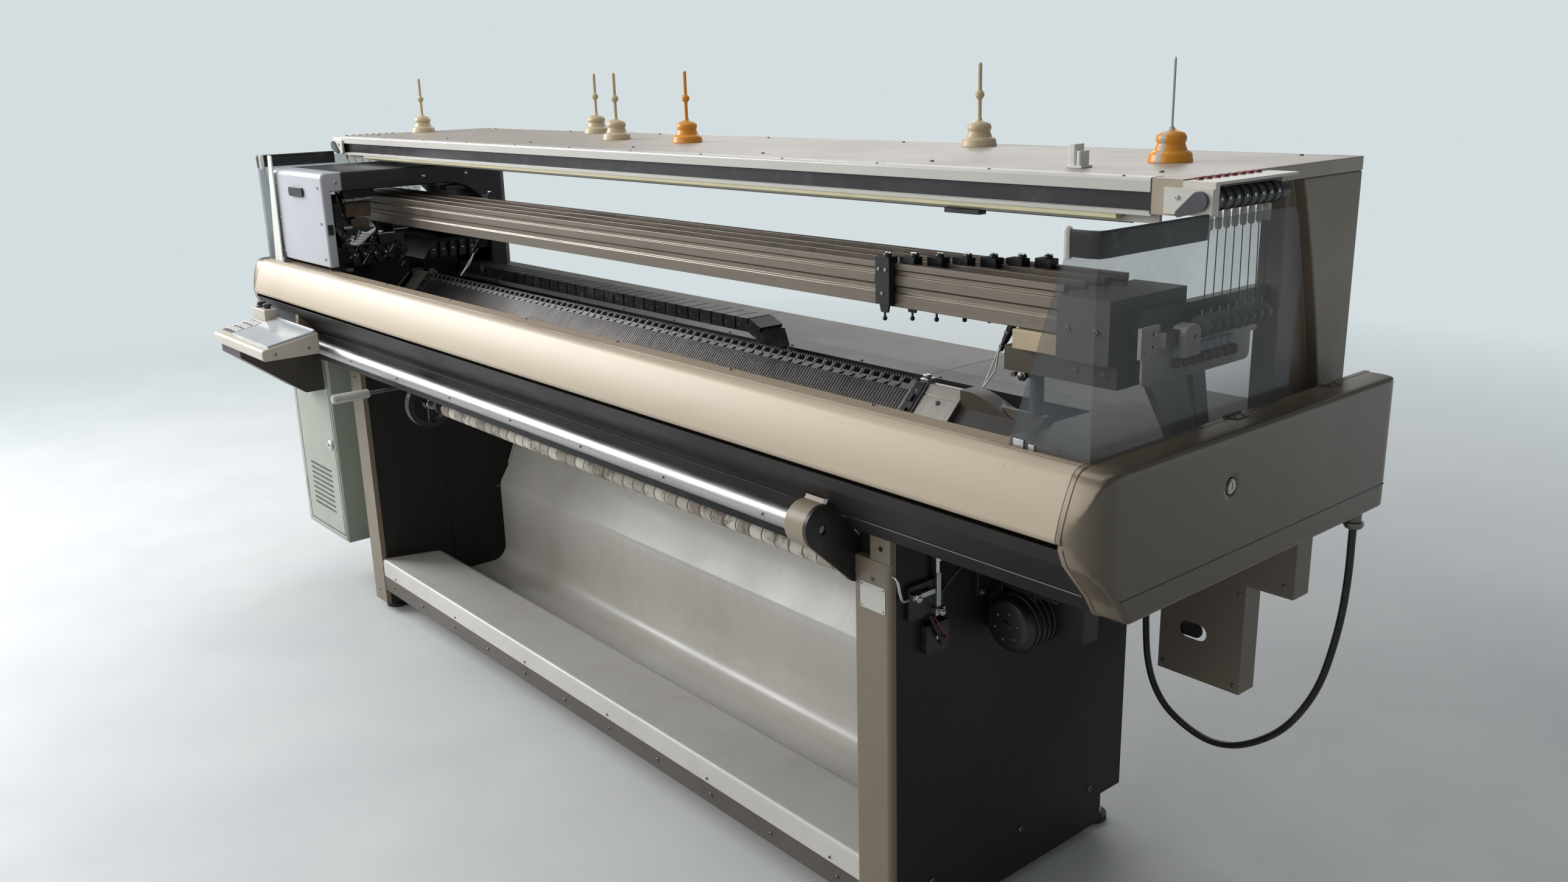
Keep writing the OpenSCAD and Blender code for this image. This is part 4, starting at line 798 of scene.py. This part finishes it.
def add_carriage_cables():
    x = CARRIAGE_X1
    black = [smooth_line([
        (x - 40 - 12 * k, -198 + 4 * k, 1206), (x - 30 - 8 * k, -196 + 7 * k, 1170),
        (x - 22 - 6 * k, -186 + 7 * k, 1130), (x - 34 - 10 * k, -160 + 2 * k, 1104),
        (x - 60 - 12 * k, -150 + 3 * k, 1100)]) for k in range(6)]
    grey = [smooth_line([
        (x - 60, -204 + up, 1110 + up), (x - 22, -196 + up, 1082 + up), (x - 6, -182 + up, 1070 + up),
        (x - 2, -162 + up, 1072 + up * 0.8), (x - 6, -146 + up, 1090 + up * 0.5),
        (x - 26, -142 + up, 1106 + up * 0.3), (x - 60, -136 + up, 1096 + up)]) for up in (0, 7, 14, 21, 28)]
    add_tubes("carriage_black_cables", black, 2.6, "plastic_black", "carriage", 2)
    add_tubes("carriage_grey_cables", grey, 4.6, "cloth_grey", "carriage", 2)


def add_carriage_cover_parts():
    """Seam, screws and catches on the light front cover and the arch."""
    x0, x1 = CARRIAGE_X0, CARRIAGE_X1
    front = low("carriage_front_cover").y
    screws = Part("cover_screws", "steel", body="carriage")
    screws.screws((x0 + 26, x1 - 26), (front,), (1034, 1130, 1226), FRONT, 4.5)
    screws.screws((x1,), (front + 40, 40, 170), (1240,), RIGHT, 5)
    strips = Part("cover_strips", "plastic_black", 0.8, "carriage")
    strips.cells(((x0 + 4, front + 1, 1013), (x1 - 4, front + 25, 1016.5)),
                 ((x1 - 2, front + 5, 1100), (x1 + 1, front + 21, 1128)))
    strips.plate(rounded((x0 + 130, 1196), (x1 - 130, 1222), 10), "Y", front - 7, front + 1)


# Yarn carriers: screws, knobs and feeder plates that travel with each carrier
def add_carrier_parts(number):
    body = f"carrier_{number}"
    a = low("yarn_" + body)
    b = high("yarn_" + body)
    side = -1 if number % 2 else 1
    face = a.y if side < 0 else b.y
    long_arm = number in (6, 8)
    middle = b.x - 16 if long_arm else (a.x + b.x) / 2
    metal = Part(body + "_screws", "steel", body=body)
    black = Part(body + "_plate", "plastic_black", 0.6, body)
    for dx, z in ((-8, RAIL_TOP - 10), (8, RAIL_TOP - 10), (0, RAIL_Z + 22)):
        metal.screw((middle + dx, face, z), (0, side, 0), 3)
    knob_y = face - side * 7
    black.lathe([(0, -1), (7, -1), (7.5, 3), (6, 6), (0, 7)], (middle + 6, knob_y, RAIL_TOP + 11), UP, 16)
    black.cell((middle - 22, face - side * 4, RAIL_TOP - 34), (middle - 12, face - side * 9, RAIL_TOP - 20))
    black.plate([(middle - 12, RAIL_Z + 6), (middle + 12, RAIL_Z + 6), (middle + 8, RAIL_Z - 10),
                 (middle - 8, RAIL_Z - 10)], "Y", face - side * 4.4, face - side * 8.6)
    pin = (middle, knob_y - side * 2, RAIL_TOP + 17)
    metal.rod(pin, (pin[0] + 12, pin[1], pin[2]), 1.6, 10)
    if long_arm:
        top = Vector((b.x - 22, (a.y + b.y) / 2 + 12, RAIL_Z - 24))
        way = Vector((a.x + 8, a.y + 8, a.z + 22)) - top
        black.rod(top + way * 0.02, top + way * 0.34, 7.5, 14, 5.5)
        black.rod(top + way * 0.34, top + way * 0.52, 5, 12, 4)
        metal.screw(top + way * 0.16 + Vector((0, -7, 0)), FRONT, 4)
        metal.screw(top + way * 0.42 + Vector((0, -5, 0)), FRONT, 3.2)


RAIL_BOLTS_Y = (-58, -10, 38, 86)


def add_rail_fittings():
    """Bolts and blocks at the rail ends, and the dark band under the table edge."""
    bolts = Part("rail_bolts", "dull_steel")
    bolts.screws((RAIL_END,), RAIL_BOLTS_Y, (RAIL_Z + 12, RAIL_TOP - 24), LEFT, 4.2)
    for x in (RAIL_END + 20, RAIL_END + 70):
        bolts.screw((x, -93, 1132), FRONT, 5)
        bolts.screw((x, -70, 1066), FRONT, 4.5)
    bolts.rod((1176, -40, 1032), (1176, 40, 1032), 4)
    bolts.rod((1193, -34, 1032), (1193, 34, 1032), 6)
    bolts.nut((1193, -34, 1032), FRONT, 9, 6)
    Part("rail_end_block", "cone_beige", 1.2).cell((1212, -86, 1086), (1299, 40, 1116))
    Part("rail_end_post", "teal").rod((1193, 0, 963), (1193, 0, 1047), 11.5, 28)
    Part("hood_band", "plastic_black", 0.8).plate(
        [(16, 1322), (36, 1322), (36, 1277), (26, 1272), (16, 1277)], "X", -1300, HALF_TABLE - 110)


# Windows: dark edge trims with pale corner caps, and the brackets at their foot
def add_window_trim(side, name):
    sheet = high("right_window")
    x = sheet.x - 4
    front = low("right_window").y
    line = [(x - 40, front - 2.5), (x - 8, front - 2.5), (x + 4.5, front + 2), (x + 6.5, front + 14),
            (x + 6.5, NOSE_Y - 6)]
    rings = []
    for i, (u, v) in enumerate(line):
        a = Vector(line[max(i - 1, 0)])
        b = Vector(line[min(i + 1, len(line) - 1)])
        out = Vector((b.y - a.y, a.x - b.x)).normalized()
        rings.append([(side * (u + w * out.x), v + w * out.y, sheet.z + h) for w, h in (
            (-2.2, -26), (2.2, -26), (3, 0), (2.4, 7), (0, 9), (-2.4, 7), (-3, 0))])
    Part(f"window_trim_{name}", "plastic_black", 0.6).tube(rings)
    Part(f"window_corner_{name}", "plastic_white", 0.4).lathe(
        [(0, -30), (5.5, -29), (6.6, -24), (6.6, 6), (5.5, 10), (3, 12), (0, 12.4)],
        (side * (x - 42), front - 2, sheet.z), UP, 20)
    Part(f"window_clip_{name}", "steel", 0.6).cells(
        ((side * (x - 122), front - 3, APRON_Z), (side * (x - 104), front + 1, APRON_Z + 12)),
        ((side * (x - 96), front - 2.5, APRON_Z), (side * (x - 86), front + 1, APRON_Z + 8)))


def add_window_strip():
    front = low("left_window").y
    Part("left_window_strip", "plastic_white", 0.8).plate(
        [(-1432, APRON_Z), (-1374, APRON_Z), (-1362, TABLE_LOW - 18), (-1388, TABLE_LOW - 18)],
        "Y", front - 4, front)


# Tension units: dots, coils, knobs and discs
EYELETS = 8
EYELET_PITCH = 21
DISC_PITCH = 23


def add_top_tension(side, name):
    bar_x = side * (HALF_TABLE + 28)
    bar_z = TABLE_Z - 28
    dots = Part(f"tension_dots_{name}", "red_knob")
    pins = Part(f"tension_pins_{name}", "steel")
    tips = Part(f"tension_ceramics_{name}", "ceramic")
    rings = []
    for i in range(EYELETS):
        y = 4 + i * EYELET_PITCH
        dots.lathe([(0, -0.5), (5.4, -0.5), (5, 2), (3.4, 3.8), (0, 4.6)],
                   (side * (HALF_TABLE + 9), y, TABLE_Z - 2), UP, 14)
        pins.screw((bar_x + side * 15.6, y, bar_z + 2), (side, 0, 0), 2.6)
        tips.lathe([(0, -42), (3.4, -41.5), (4.8, -38), (5, -22), (4, -15), (0, -14)],
                   (bar_x, y, bar_z), UP, 16)
        rings.append(coil((bar_x, y + 6.4, bar_z), 14.4, 8, 3, 18))
    pins.screw((side * (HALF_TABLE - 4), NOSE_Y - 6, TABLE_Z - 24), FRONT, 3.6)
    add_tubes(f"tension_coils_{name}", rings, 1.2, "plastic_black", "machine", 2)


def add_side_tension(side, name):
    out = (side, 0, 0)
    disc_x = side * (HALF_TABLE - 10)
    face = side * (HALF_TABLE - 20)
    disc_z = MOUTH_Z + 151
    knobs = Part(f"side_tension_knobs_{name}", "red_knob")
    blue = Part(f"side_tension_rail_{name}", "blue_pale", 0.6)
    pins = Part(f"side_tension_pins_{name}", "steel")
    springs = []
    for i in range(EYELETS):
        y = 55 + i * DISC_PITCH
        springs.append(coil((disc_x, y + 6.8, disc_z), 8.5, 15, 5, 12))
        pin_x = disc_x + side * 2
        pins.rod((pin_x, y + 1.3, disc_z + 15), (pin_x, y + 1.3, disc_z + 24), 1.2, 8)
        knobs.lathe([(0, -0.5), (8.4, -0.5), (8.8, 3), (7.8, 8), (5, 10), (0, 10.4)],
                    (face, 12 + i * EYELET_PITCH, disc_z - 47 - i * 0.3), out, 16)
        blue.lathe([(0, -0.5), (7, -0.5), (7, 6), (4.5, 8.5), (0, 9)],
                   (face, 10 + i * 19, disc_z - 32), out, 14)
        pins.screw((face + side * 7, 10 + i * 19, disc_z - 32), out, 2.4)
    blue.cell((face, 0, disc_z - 39), (face + side * 6, 155, disc_z - 25))
    pins.screw((face + side * 2, -64, disc_z - 22), out, 3)
    add_tubes(f"side_tension_springs_{name}", springs, 1.1, "steel", "machine", 2)


# Front: apron screws, arm bolts, label plate, clamps and bar end
def add_front_fittings():
    screws = Part("front_screws", "dull_steel")
    screws.screws(spread(9, SEAM_X - 60), (-240,), (APRON_Z,), UP, 3.4)
    screws.screws(spread(11, LEG_IN - 60), (LEG_FRONT + 2,), (92,), FRONT, 4)
    for side in (-1, 1):
        screws.screw((side * (LEG_OUT - 22), LEG_FRONT + 8, LEG_TOP - 23), FRONT, 4.2)
        screws.screws((side * (LEG_OUT - 40),), (LEG_FRONT,), (60, 700), FRONT, 3.6)
        screws.screws((side * LEG_OUT,), (-120, 120, 330), (110, 640), (side, 0, 0), 6)
    Part("leg_label", "label", 0.2).plate(
        rounded((LEG_IN + 12, 646), (LEG_OUT - 10, 692), 3), "Y", LEG_FRONT - 1.2, LEG_FRONT + 0.2)
    Part("leg_label_pins", "dull_steel").screws(
        (LEG_IN + 16, LEG_OUT - 14), (LEG_FRONT - 1,), (650.5, 687.5), FRONT, 1.6)
    clip = Part("arm_clip", "steel", 1)
    clip.plate([(-252, 812), (-238, 818), (-206, 774), (-214, 764)], "X", LEG_IN - 0.5, LEG_IN + 4)
    clip.rod((LEG_IN, -246, 810), (LEG_IN + 8, -246, 810), 5)


def add_clamps():
    """Silver cable clamps and short cables on the outer side of the right leg."""
    metal = Part("leg_clamps", "steel", 0.8)
    dark = Part("leg_junctions", "plastic_black", 1)
    x = LEG_OUT
    dark.plate(rounded((-186, 628), (-104, 690), 6), "X", x, x + 9)
    dark.plate(rounded((-150, 560), (-96, 612), 5), "X", x, x + 14)
    metal.cells(((x + 9, -184, 668), (x + 18, -134, 677)), ((x + 9, -134, 628), (x + 20, -112, 640)),
                ((x + 9, -128, 640), (x + 16, -118, 700)))
    metal.rod((x + 12, -123, 700), (x + 12, -123, 724), 4.5)
    metal.nut((x + 12, -123, 722), UP, 8, 8)
    metal.nut((x + 18, -176, 672), RIGHT, 8, 6)
    metal.nut((x + 20, -123, 634), RIGHT, 7, 6)
    metal.screw((x + 14, -123, 586), RIGHT, 5)
    for name, radius, look, routes in (
            ("leg_hook", 2.6, "steel", [[
                (x + 3, -216, 716), (x + 14, -218, 712), (x + 16, -214, 690), (x + 12, -204, 672),
                (x + 10, -190, 670)]]),
            ("leg_cables", 3.2, "cable", [
                [(x + 12, -140, 628), (x + 20, -134, 606), (x + 18, -120, 580), (x + 8, -112, 566)],
                [(x + 12, -112, 664), (x + 24, -80, 700), (x + 40, -30, 730), (x + 60, 10, 742)]]),
            ("leg_lead", 1.8, "red_knob", [[
                (x + 14, -134, 626), (x + 26, -124, 604), (x + 24, -110, 584), (x + 14, -104, 580)]])):
        add_tubes(name, [smooth_line(route) for route in routes], radius, look)


def add_bar_fittings():
    """End plugs and screws of the control bar, which turn with it."""
    caps = Part("bar_end_plugs", "plastic_black", body="bar")
    for x, out in ((high("control_bar").x - 50, 1), (low("control_bar").x + 18, -1)):
        caps.lathe([(0, -0.2), (18.4, -0.2), (18.4, 1.4), (16.5, 3), (9.5, 3), (9.5, 3.4), (0, 3.4)],
                   (x, BAR_Y, BAR_Z), (out, 0, 0), 28)
    Part("bar_screws", "dull_steel", body="bar").screws(
        range(-1120, 876, 285), (BAR_Y - 19,), (BAR_Z,), FRONT, 2.8)


# End caps and guards: seams, hinges and catches
def add_seams():
    """Thin dark gaskets between the apron and each end cap, and the crisp inner edge of the cap."""
    bm = whole_faces("right_end_cap")
    face = max((f for f in bm.faces if f.normal.x < -0.99), key=lambda f: f.calc_area())
    loop = [(v.co / M).yz for v in face.verts]
    bm.free()
    middle = sum(loop, Vector((0, 0))) / len(loop)
    outline = [middle + (p - middle) * 0.9995 for p in loop]
    outline = [(min(p.x, REAR_Y - 0.4), p.y) for p in outline]
    for side, name in SIDES:
        Part("cap_seam_" + name, "plastic_black").plate(
            outline, "X", side * (SEAM_X - 0.7), side * (SEAM_X + 0.9))
        Part("cap_collar_" + name, "cap").plate(outline, "X", side * (SEAM_X + 0.9), side * (SEAM_X + 8))


def add_cap_fittings():
    gasket = Part("cap_gaskets", "plastic_black")
    hinges = Part("cap_hinges", "dull_steel", 0.2)
    x, z = SEAM_X, APRON_Z
    end, line_z = HALF_LEN, LEG_TOP + 40
    for side in (-1, 1):
        gasket.cells(((side * (end - 2), -252, line_z), (side * (end - 0.2), REAR_Y - 14, line_z + 1.6)),
                     ((side * (x - 0.8), -228, z - 4), (side * (x + 0.8), REAR_Y - 20, z - 0.6)))
        for y in (60, 330):
            hinges.rod((side * (x + 2), y, z + 1), (side * (x + 2), y + 40, z + 1), 3.2, 14)
            hinges.cell((side * (x - 1), y + 3, z - 0.5), (side * (x + 20), y + 37, z + 1.2))
            hinges.screws((side * (x + 13),), (y + 10, y + 30), (z + 1.2,), UP, 2.4)


# Motor, rear box, cabinet and console details
def add_motor_housing():
    """Drive housing with a pulley cover and a lead below the motor."""
    x = LEG_OUT + 62
    z = LEG_TOP - 196
    body = Part("motor_housing", "motor", 1.5)
    body.lathe([(0, 0), (34, 0), (44, 4), (50, 14), (50, 118), (42, 130), (0, 130)], (x, -8, z), BACK, 32)
    for k in range(7):
        body.lathe([(50, 0), (54, 0), (54, 3), (50, 3)], (x, 14 + 14 * k, z), BACK, 32)
    body.cells(((LEG_OUT, 20, z - 30), (LEG_OUT + 30, 96, z + 130)),
               ((x - 20, 30, z + 30), (x + 30, 80, z + 72)), ((x + 20, 60, z - 20), (x + 110, 100, z + 44)))
    Part("motor_housing_face", "motor").lathe(
        [(0, -4), (9, -4), (11, 0), (33, 1), (33, 3), (0, 3)], (x, -8, z), BACK, 28)
    bolts = Part("motor_housing_bolts", "dull_steel")
    for k in range(6):
        a = math.radians(60 * k + 15)
        bolts.screw((x + 25 * math.cos(a), -8, z + 25 * math.sin(a)), FRONT, 3)


def add_panel_edge_highlight():
    """Painted highlight: a bright steel strip along the knee of the under panel."""
    Part("panel_edge_highlight", "dull_steel").cell(
        (-SEAM_X + 2, -256.6, LEG_TOP + 32.8), (SEAM_X - 2, -254.4, LEG_TOP + 34.4))


def add_motor_parts():
    x = LEG_OUT
    z = LEG_TOP
    fins = Part("motor_fins", "motor", 0.4)

    def place(along, r, t):
        return Vector((along, 0, 0)) + Vector((0, 40, z - 84)) + out * r + Vector((0, -out.z, out.y)) * t

    for k in range(20):
        out = Vector((0, math.cos(math.radians(18 * k)), math.sin(math.radians(18 * k))))
        if out.z <= 0.72:
            fins.cell((x + 20, 50, -1.4), (x + 146, 58, 1.4), place)
    bolts = Part("motor_bolts", "dull_steel")
    for bolt_z in (638, 750):
        for y in (-18, 98):
            bolts.nut((x + 14, y, bolt_z), RIGHT, 7, 6)
    bolts.screw((x + 196, 40, z - 84), RIGHT, 10)
    bolts.screws((x + 95,), (22, 58), (z - 18,), UP, 3)
    lead = smooth_line([(x + 95, 70, z - 30), (x + 96, 110, z - 36), (x + 80, 150, z - 80),
                        (x + 50, 170, z - 130), (x + 12, 180, z - 160), (x + 2, 182, z - 166)], 8)
    add_tubes("motor_lead", [lead], 4.5, "cable")


def add_box_parts():
    x = low("rear_box").x
    Part("box_plug", "plastic_black", 0.6).plate(
        rounded((x + 73, LEG_TOP - 313), (x + 127, LEG_TOP - 283), 14), "Y", 406, 410)
    screws = Part("box_screws", "dull_steel")
    screws.screws((1192, 1338), (400,), (404, 580, 762), FRONT)
    screws.screws((1420,), (400,), (620, 760), FRONT)
    for x, z in (CABLE_ROUTE[0], CABLE_ROUTE[-1]):
        screws.lathe([(0, -1), (16, -1), (17, 3), (14, 9), (8.5, 12), (0, 12)], (x, CABLE_Y, z + 2), DOWN, 20)


def add_cabinet_parts():
    a = low("control_cabinet")
    x0 = a.x + 26
    x1 = -LEG_OUT - 109
    seams = Part("cabinet_seams", "plastic_black")
    for u0, v0, u1, v1 in ((x0 + 8, 190, x1 - 8, 193), (x0 + 8, 742, x1 - 8, 745),
                           (x0 + 8, 190, x0 + 11, 745), (x1 - 11, 190, x1 - 8, 745)):
        seams.cell((u0, a.y - 0.5, v0), (u1, a.y + 0.5, v1))
    for z in range(250, 379, 16):
        seams.plate(rounded((x0 + 60, z), (x1 - 60, z + 6), 2.9), "Y", a.y - 0.6, a.y + 0.5)
    metal = Part("cabinet_lock", "steel")
    metal.lathe([(0, -1), (15, -1), (15, 4), (12, 7), (5, 7), (5, 5), (0, 5)], (x1 - 34, a.y, 470), FRONT, 24)
    for z in (260, 660):
        metal.rod((x0 + 1, a.y + 2, z), (x0 + 1, a.y + 2, z + 60), 5, 16)
    metal.screws((a.x,), (-120, 120, 330), (700, 230), LEFT, 5)


def add_console_parts():
    a = low("console_body")
    b = high("console_body")
    slope = math.atan(28 / 147)

    def place(x, y, up):
        return (x, b.y - y * math.cos(slope) - up * math.sin(slope),
                b.z - 30 - y * math.sin(slope) + up * math.cos(slope))

    Part("console_keys", "plastic_grey", 0.6).cell((a.x + 8, 44, 0.1), (a.x + 102, 134, 2.2), place)
    keys = Part("console_caps", "plastic_white", 0.8)
    for x, y in product((14, 36, 58, 80), (52, 78, 104)):
        keys.cell((a.x + x, y, 2), (a.x + x + 16, y + 18, 5.4), place)
    dial = Part("console_dial", "plastic_black")
    dial.lathe([(0, -1), (15, -1), (15, 4), (12.5, 6), (11.5, 14), (9.5, 16), (0, 16)],
               (a.x + 30, b.y - 20, b.z), UP, 28)
    dial.lathe([(0, -1), (9, -1), (9, 5), (12, 8), (12, 12), (8, 15), (0, 15.5)], (a.x + 76, b.y - 20, b.z))
    screws = Part("console_screws", "dull_steel")
    screws.screws((a.x + 30, a.x + 200, b.x - 20), (a.y + 2,), (a.z + 16,), FRONT, 3)
    screws.screw((b.x, b.y - 30, a.z + 20), RIGHT, 3.4)
    screws.screw((b.x, b.y - 120, a.z + 16), RIGHT, 3.4)


# Table, rear cover, receiver and feet details
def add_table_parts():
    x, y, z = HALF_TABLE, REAR_Y, TABLE_Z
    trims = Part("table_rim", "front_rail", 0.3)
    for end in (-1, 1):
        trims.cell((end * (x - 0.1), TABLE_FRONT + 1, z - 1), (end * (x - 2.9), y - 1, z + 0.8))
    trims.cell((1 - x, y - 4, z - 1), (x - 1, y - 1, z + 0.8))
    screws = Part("table_screws", "dull_steel")
    screws.screws(spread(7, x - 90), (60, y - 30), (z,), UP, 4)
    screws.screws([place - 20 for place in spread(12, x - 80)], (NOSE_Y + 5.2,), (z,), UP, 2.4)
    clip = Part("table_clip", "plastic_white", 0.8)
    clip.plate(rounded((1190, 62), (1204, 86), 3), "Z", z - 0.2, z + 36)
    clip.plate(rounded((1206, 62), (1214, 86), 3), "Z", z - 0.2, z + 26)
    clip.cell((1188, 60, z), (1218, 88, z + 4))
    Part("rail_end_seams", "plastic_black").cells(
        ((x - 51.2, NOSE_Y - 0.4, z - 50), (x - 49.4, NOSE_Y + 20, z - 0.2)),
        ((x - 51.2, NOSE_Y + 2, z - 1), (x - 49.4, TABLE_FRONT, z + 0.5)))


def add_rear_parts():
    seams = Part("rear_seams", "plastic_black")
    screws = Part("rear_screws", "dull_steel")

    def disc(r, x, z, sides):
        screws.lathe([(0, -0.5), (r, -0.5), (r, 0.1), (0, 0.1)], (x, REAR_Y, z), BACK, sides)

    for x in (-742, 0, 742):
        seams.cells(((x - 1, REAR_Y - 1, LEG_TOP + 4), (x + 1, REAR_Y + 0.05, REAR_Z - 2)),
                    ((x - 1, 216, REAR_Z - 1), (x + 1, REAR_Y, REAR_Z + 0.4)))
    for x in spread(14, 1440):
        disc(5, x, LEG_TOP + 14, 16)
        disc(5, x, REAR_Z - 14, 16)
        screws.screw((x, 226, REAR_Z), UP, 3.4)
    for bay in (-371, 371):
        for x in range(bay - 110, bay + 107, 24):
            slot = rounded((x, LEG_TOP + 40), (x + 8, LEG_TOP + 100), 3.9)
            seams.plate(slot, "Y", REAR_Y - 0.5, REAR_Y + 0.05)
    for side in (-1, 1):
        for z in (REAR_Z + 40, TABLE_LOW - 40):
            disc(8, side * (HALF_TABLE - 32), z, 20)


def add_receiver_parts():
    screws = Part("receiver_screws", "dull_steel")
    for side in (-1, 1):
        for z in (300, 480, 660):
            screws.screw((side * (LEG_IN - 0.5), 331 - (690 - z) * 0.42, z), (-side, 0, 0), 4.5)
    screws.screws(spread(6, LEG_IN - 80), (LEG_FRONT + 1.8,), (124,), FRONT, 3)
    edge = Part("receiver_side_beads", "receiver")
    bead_x = low("cloth_receiver").x + 2.5
    for x in (bead_x, -bead_x):
        edge.rod((x, 342, 690), (x, 227, 409), 2.6, 12)
        edge.rod((x, 227, 409), (x, 208, 364), 2.6, 12)


def add_feet_nuts():
    nuts = Part("feet_nuts", "dull_steel", 0.3)
    for side in (-1, 1):
        for y in (LEG_FRONT + 48, 399):
            nuts.lathe([(0, 0), (22, 0), (22, 5), (20, 6.5), (0, 6.5)],
                       (side * (LEG_IN + LEG_OUT) / 2, y, 12.4), UP, 6)


def add_roller_parts():
    """Handwheel grip and the collars of the take-down roller, which turn with it."""
    wheel_x = ROLLER_X0 - 110
    y, z = ROLLER_Y, ROLLER_Z
    angles = [2 * math.pi * k / 48 for k in range(49)]
    rim = [Vector((wheel_x + 11, y + 55 * math.cos(a), z + 55 * math.sin(a))) for a in angles]
    add_tubes("handwheel_grip", [rim], 7.6, "plastic_black", "roller")
    Part("handwheel_knob", "plastic_black", body="roller").lathe(
        [(0, -1), (6, -1), (6, 6), (11, 14), (12, 30), (9, 38), (0, 40)], (wheel_x, y, z + 52), LEFT, 20)
    gaps = Part("roller_gaps", "plastic_brown", body="roller")
    for k in range(1, int((ROLLER_X1 - 20 - ROLLER_X0) / SEGMENT) + 1):
        gaps.lathe([(ROLLER_R - 1.5, 0), (ROLLER_R + 0.5, 0.2), (ROLLER_R + 0.5, 2), (ROLLER_R - 1.5, 2.2)],
                   (ROLLER_X0 + SEGMENT * k, y, z), RIGHT, 28)
    collar = Part("roller_collars", "steel", 0.3, "roller")
    for x in (ROLLER_X0 - 6, wheel_x + 22):
        collar.lathe([(8.2, 0), (14, 0), (14, 5.6), (8.2, 5.6)], (x, y, z), RIGHT)


CHAIN_PITCH = 44


def add_chain_parts():
    """Pins of the cable chain links, along its upper and its lower run."""
    pins = Part("chain_pins", "dull_steel")
    a = low("cable_chain")
    b = high("cable_chain")
    for x, z in ((a.x + 22, b.z - 15), (b.x - 660, a.z + 15)):
        while x < b.x - 70:
            pins.rod((x, a.y - 0.6, z), (x, b.y + 0.6, z), 2.6, 10)
            x += CHAIN_PITCH


add_needles(-1, "front")
add_needles(1, "rear")
add_bed_fittings()
add_carriage_parts()
add_carriage_clutter()
add_carriage_cables()
add_carriage_cover_parts()
for number in range(1, 9):
    add_carrier_parts(number)
add_rail_fittings()
for side, name in SIDES:
    add_window_trim(side, name)
    add_top_tension(side, name)
    add_side_tension(side, name)
add_window_strip()
add_front_fittings()
add_clamps()
add_bar_fittings()
add_seams()
add_cap_fittings()
add_motor_housing()
add_panel_edge_highlight()
add_motor_parts()
add_box_parts()
add_cabinet_parts()
add_console_parts()
add_table_parts()
add_rear_parts()
add_receiver_parts()
add_feet_nuts()
add_roller_parts()
add_chain_parts()
for part in parts:
    finish_mesh(*part)


# Floor and light
SKY = (660, 730, 750)


def add_floor():
    """A pale floor that runs into the background colour far from the machine."""
    s = Shader("floor")
    s.set(Base_Color=s.mix(s.fade(s.noise(1.3, 4), 0.3, 0.7), (620, 630, 640), (700, 710, 710)))
    s.roughness(s.noise(3, 5), 0.45, 0.65)
    far = s.fade(s.node("VectorMath", {0: s.coords}, operation="LENGTH").outputs["Value"], 2.2, 6)
    paths = s.node("LightPath").outputs
    seen = s.math("MAXIMUM", paths["Is Camera Ray"], paths["Is Glossy Ray"])
    glow = s.node("Emission", {"Color": SKY}).outputs[0]
    blend = s.node("MixShader", {"Fac": s.math("MULTIPLY", far, seen), 1: s.bsdf.outputs[0], 2: glow})
    s.put(s.tree.nodes["Material Output"].inputs["Surface"], blend.outputs[0])
    bpy.ops.mesh.primitive_plane_add(size=60, location=(0, 0, 0))
    floor = bpy.context.object
    floor.name = "studio_floor"
    floor.data.materials.append(looks["floor"])


def add_lamp(name, at, target, size, power, colour=(1, 1, 1)):
    data = fill(bpy.data.lights.new(name, "AREA"), shape="RECTANGLE", size=size[0], size_y=size[1],
                energy=power, color=colour)
    turn = (Vector(target) - Vector(at)).to_track_quat("-Z", "Y").to_euler()
    scene.collection.objects.link(fill(bpy.data.objects.new(name, data), location=at, rotation_euler=turn))


def add_world():
    """Dim light from all sides, with a brighter background where the camera sees it."""
    scene.world = bpy.data.worlds.new("studio")
    w = Nodes(scene.world)
    dim = w.tree.nodes["Background"]
    w.put(dim.inputs["Color"], (800, 850, 880))
    w.put(dim.inputs["Strength"], 0.26)
    shown = w.node("Background", {"Color": SKY, "Strength": 1}).outputs[0]
    seen = w.node("LightPath").outputs["Is Camera Ray"]
    mixed = w.node("MixShader", {"Fac": seen, 1: dim.outputs[0], 2: shown}).outputs[0]
    w.put(w.tree.nodes["World Output"].inputs["Surface"], mixed)


add_floor()
add_world()
add_lamp("window_light", (-4.6, -2.4, 3), (-0.4, 0, 0.9), (3.2, 2.4), 290, (0.96, 0.98, 1))
add_lamp("front_light", (-0.6, -4.8, 3), (0.2, 0, 0.8), (4, 2.2), 75, (1, 0.98, 0.95))
add_lamp("rear_light", (-2.5, 4, 3.4), (0, 0.2, 1), (4, 2), 60)
add_lamp("top_light", (-0.3, 0.2, 4.2), (0, 0, 1), (3.4, 2.4), 40)
scene.view_settings.view_transform = "Standard"
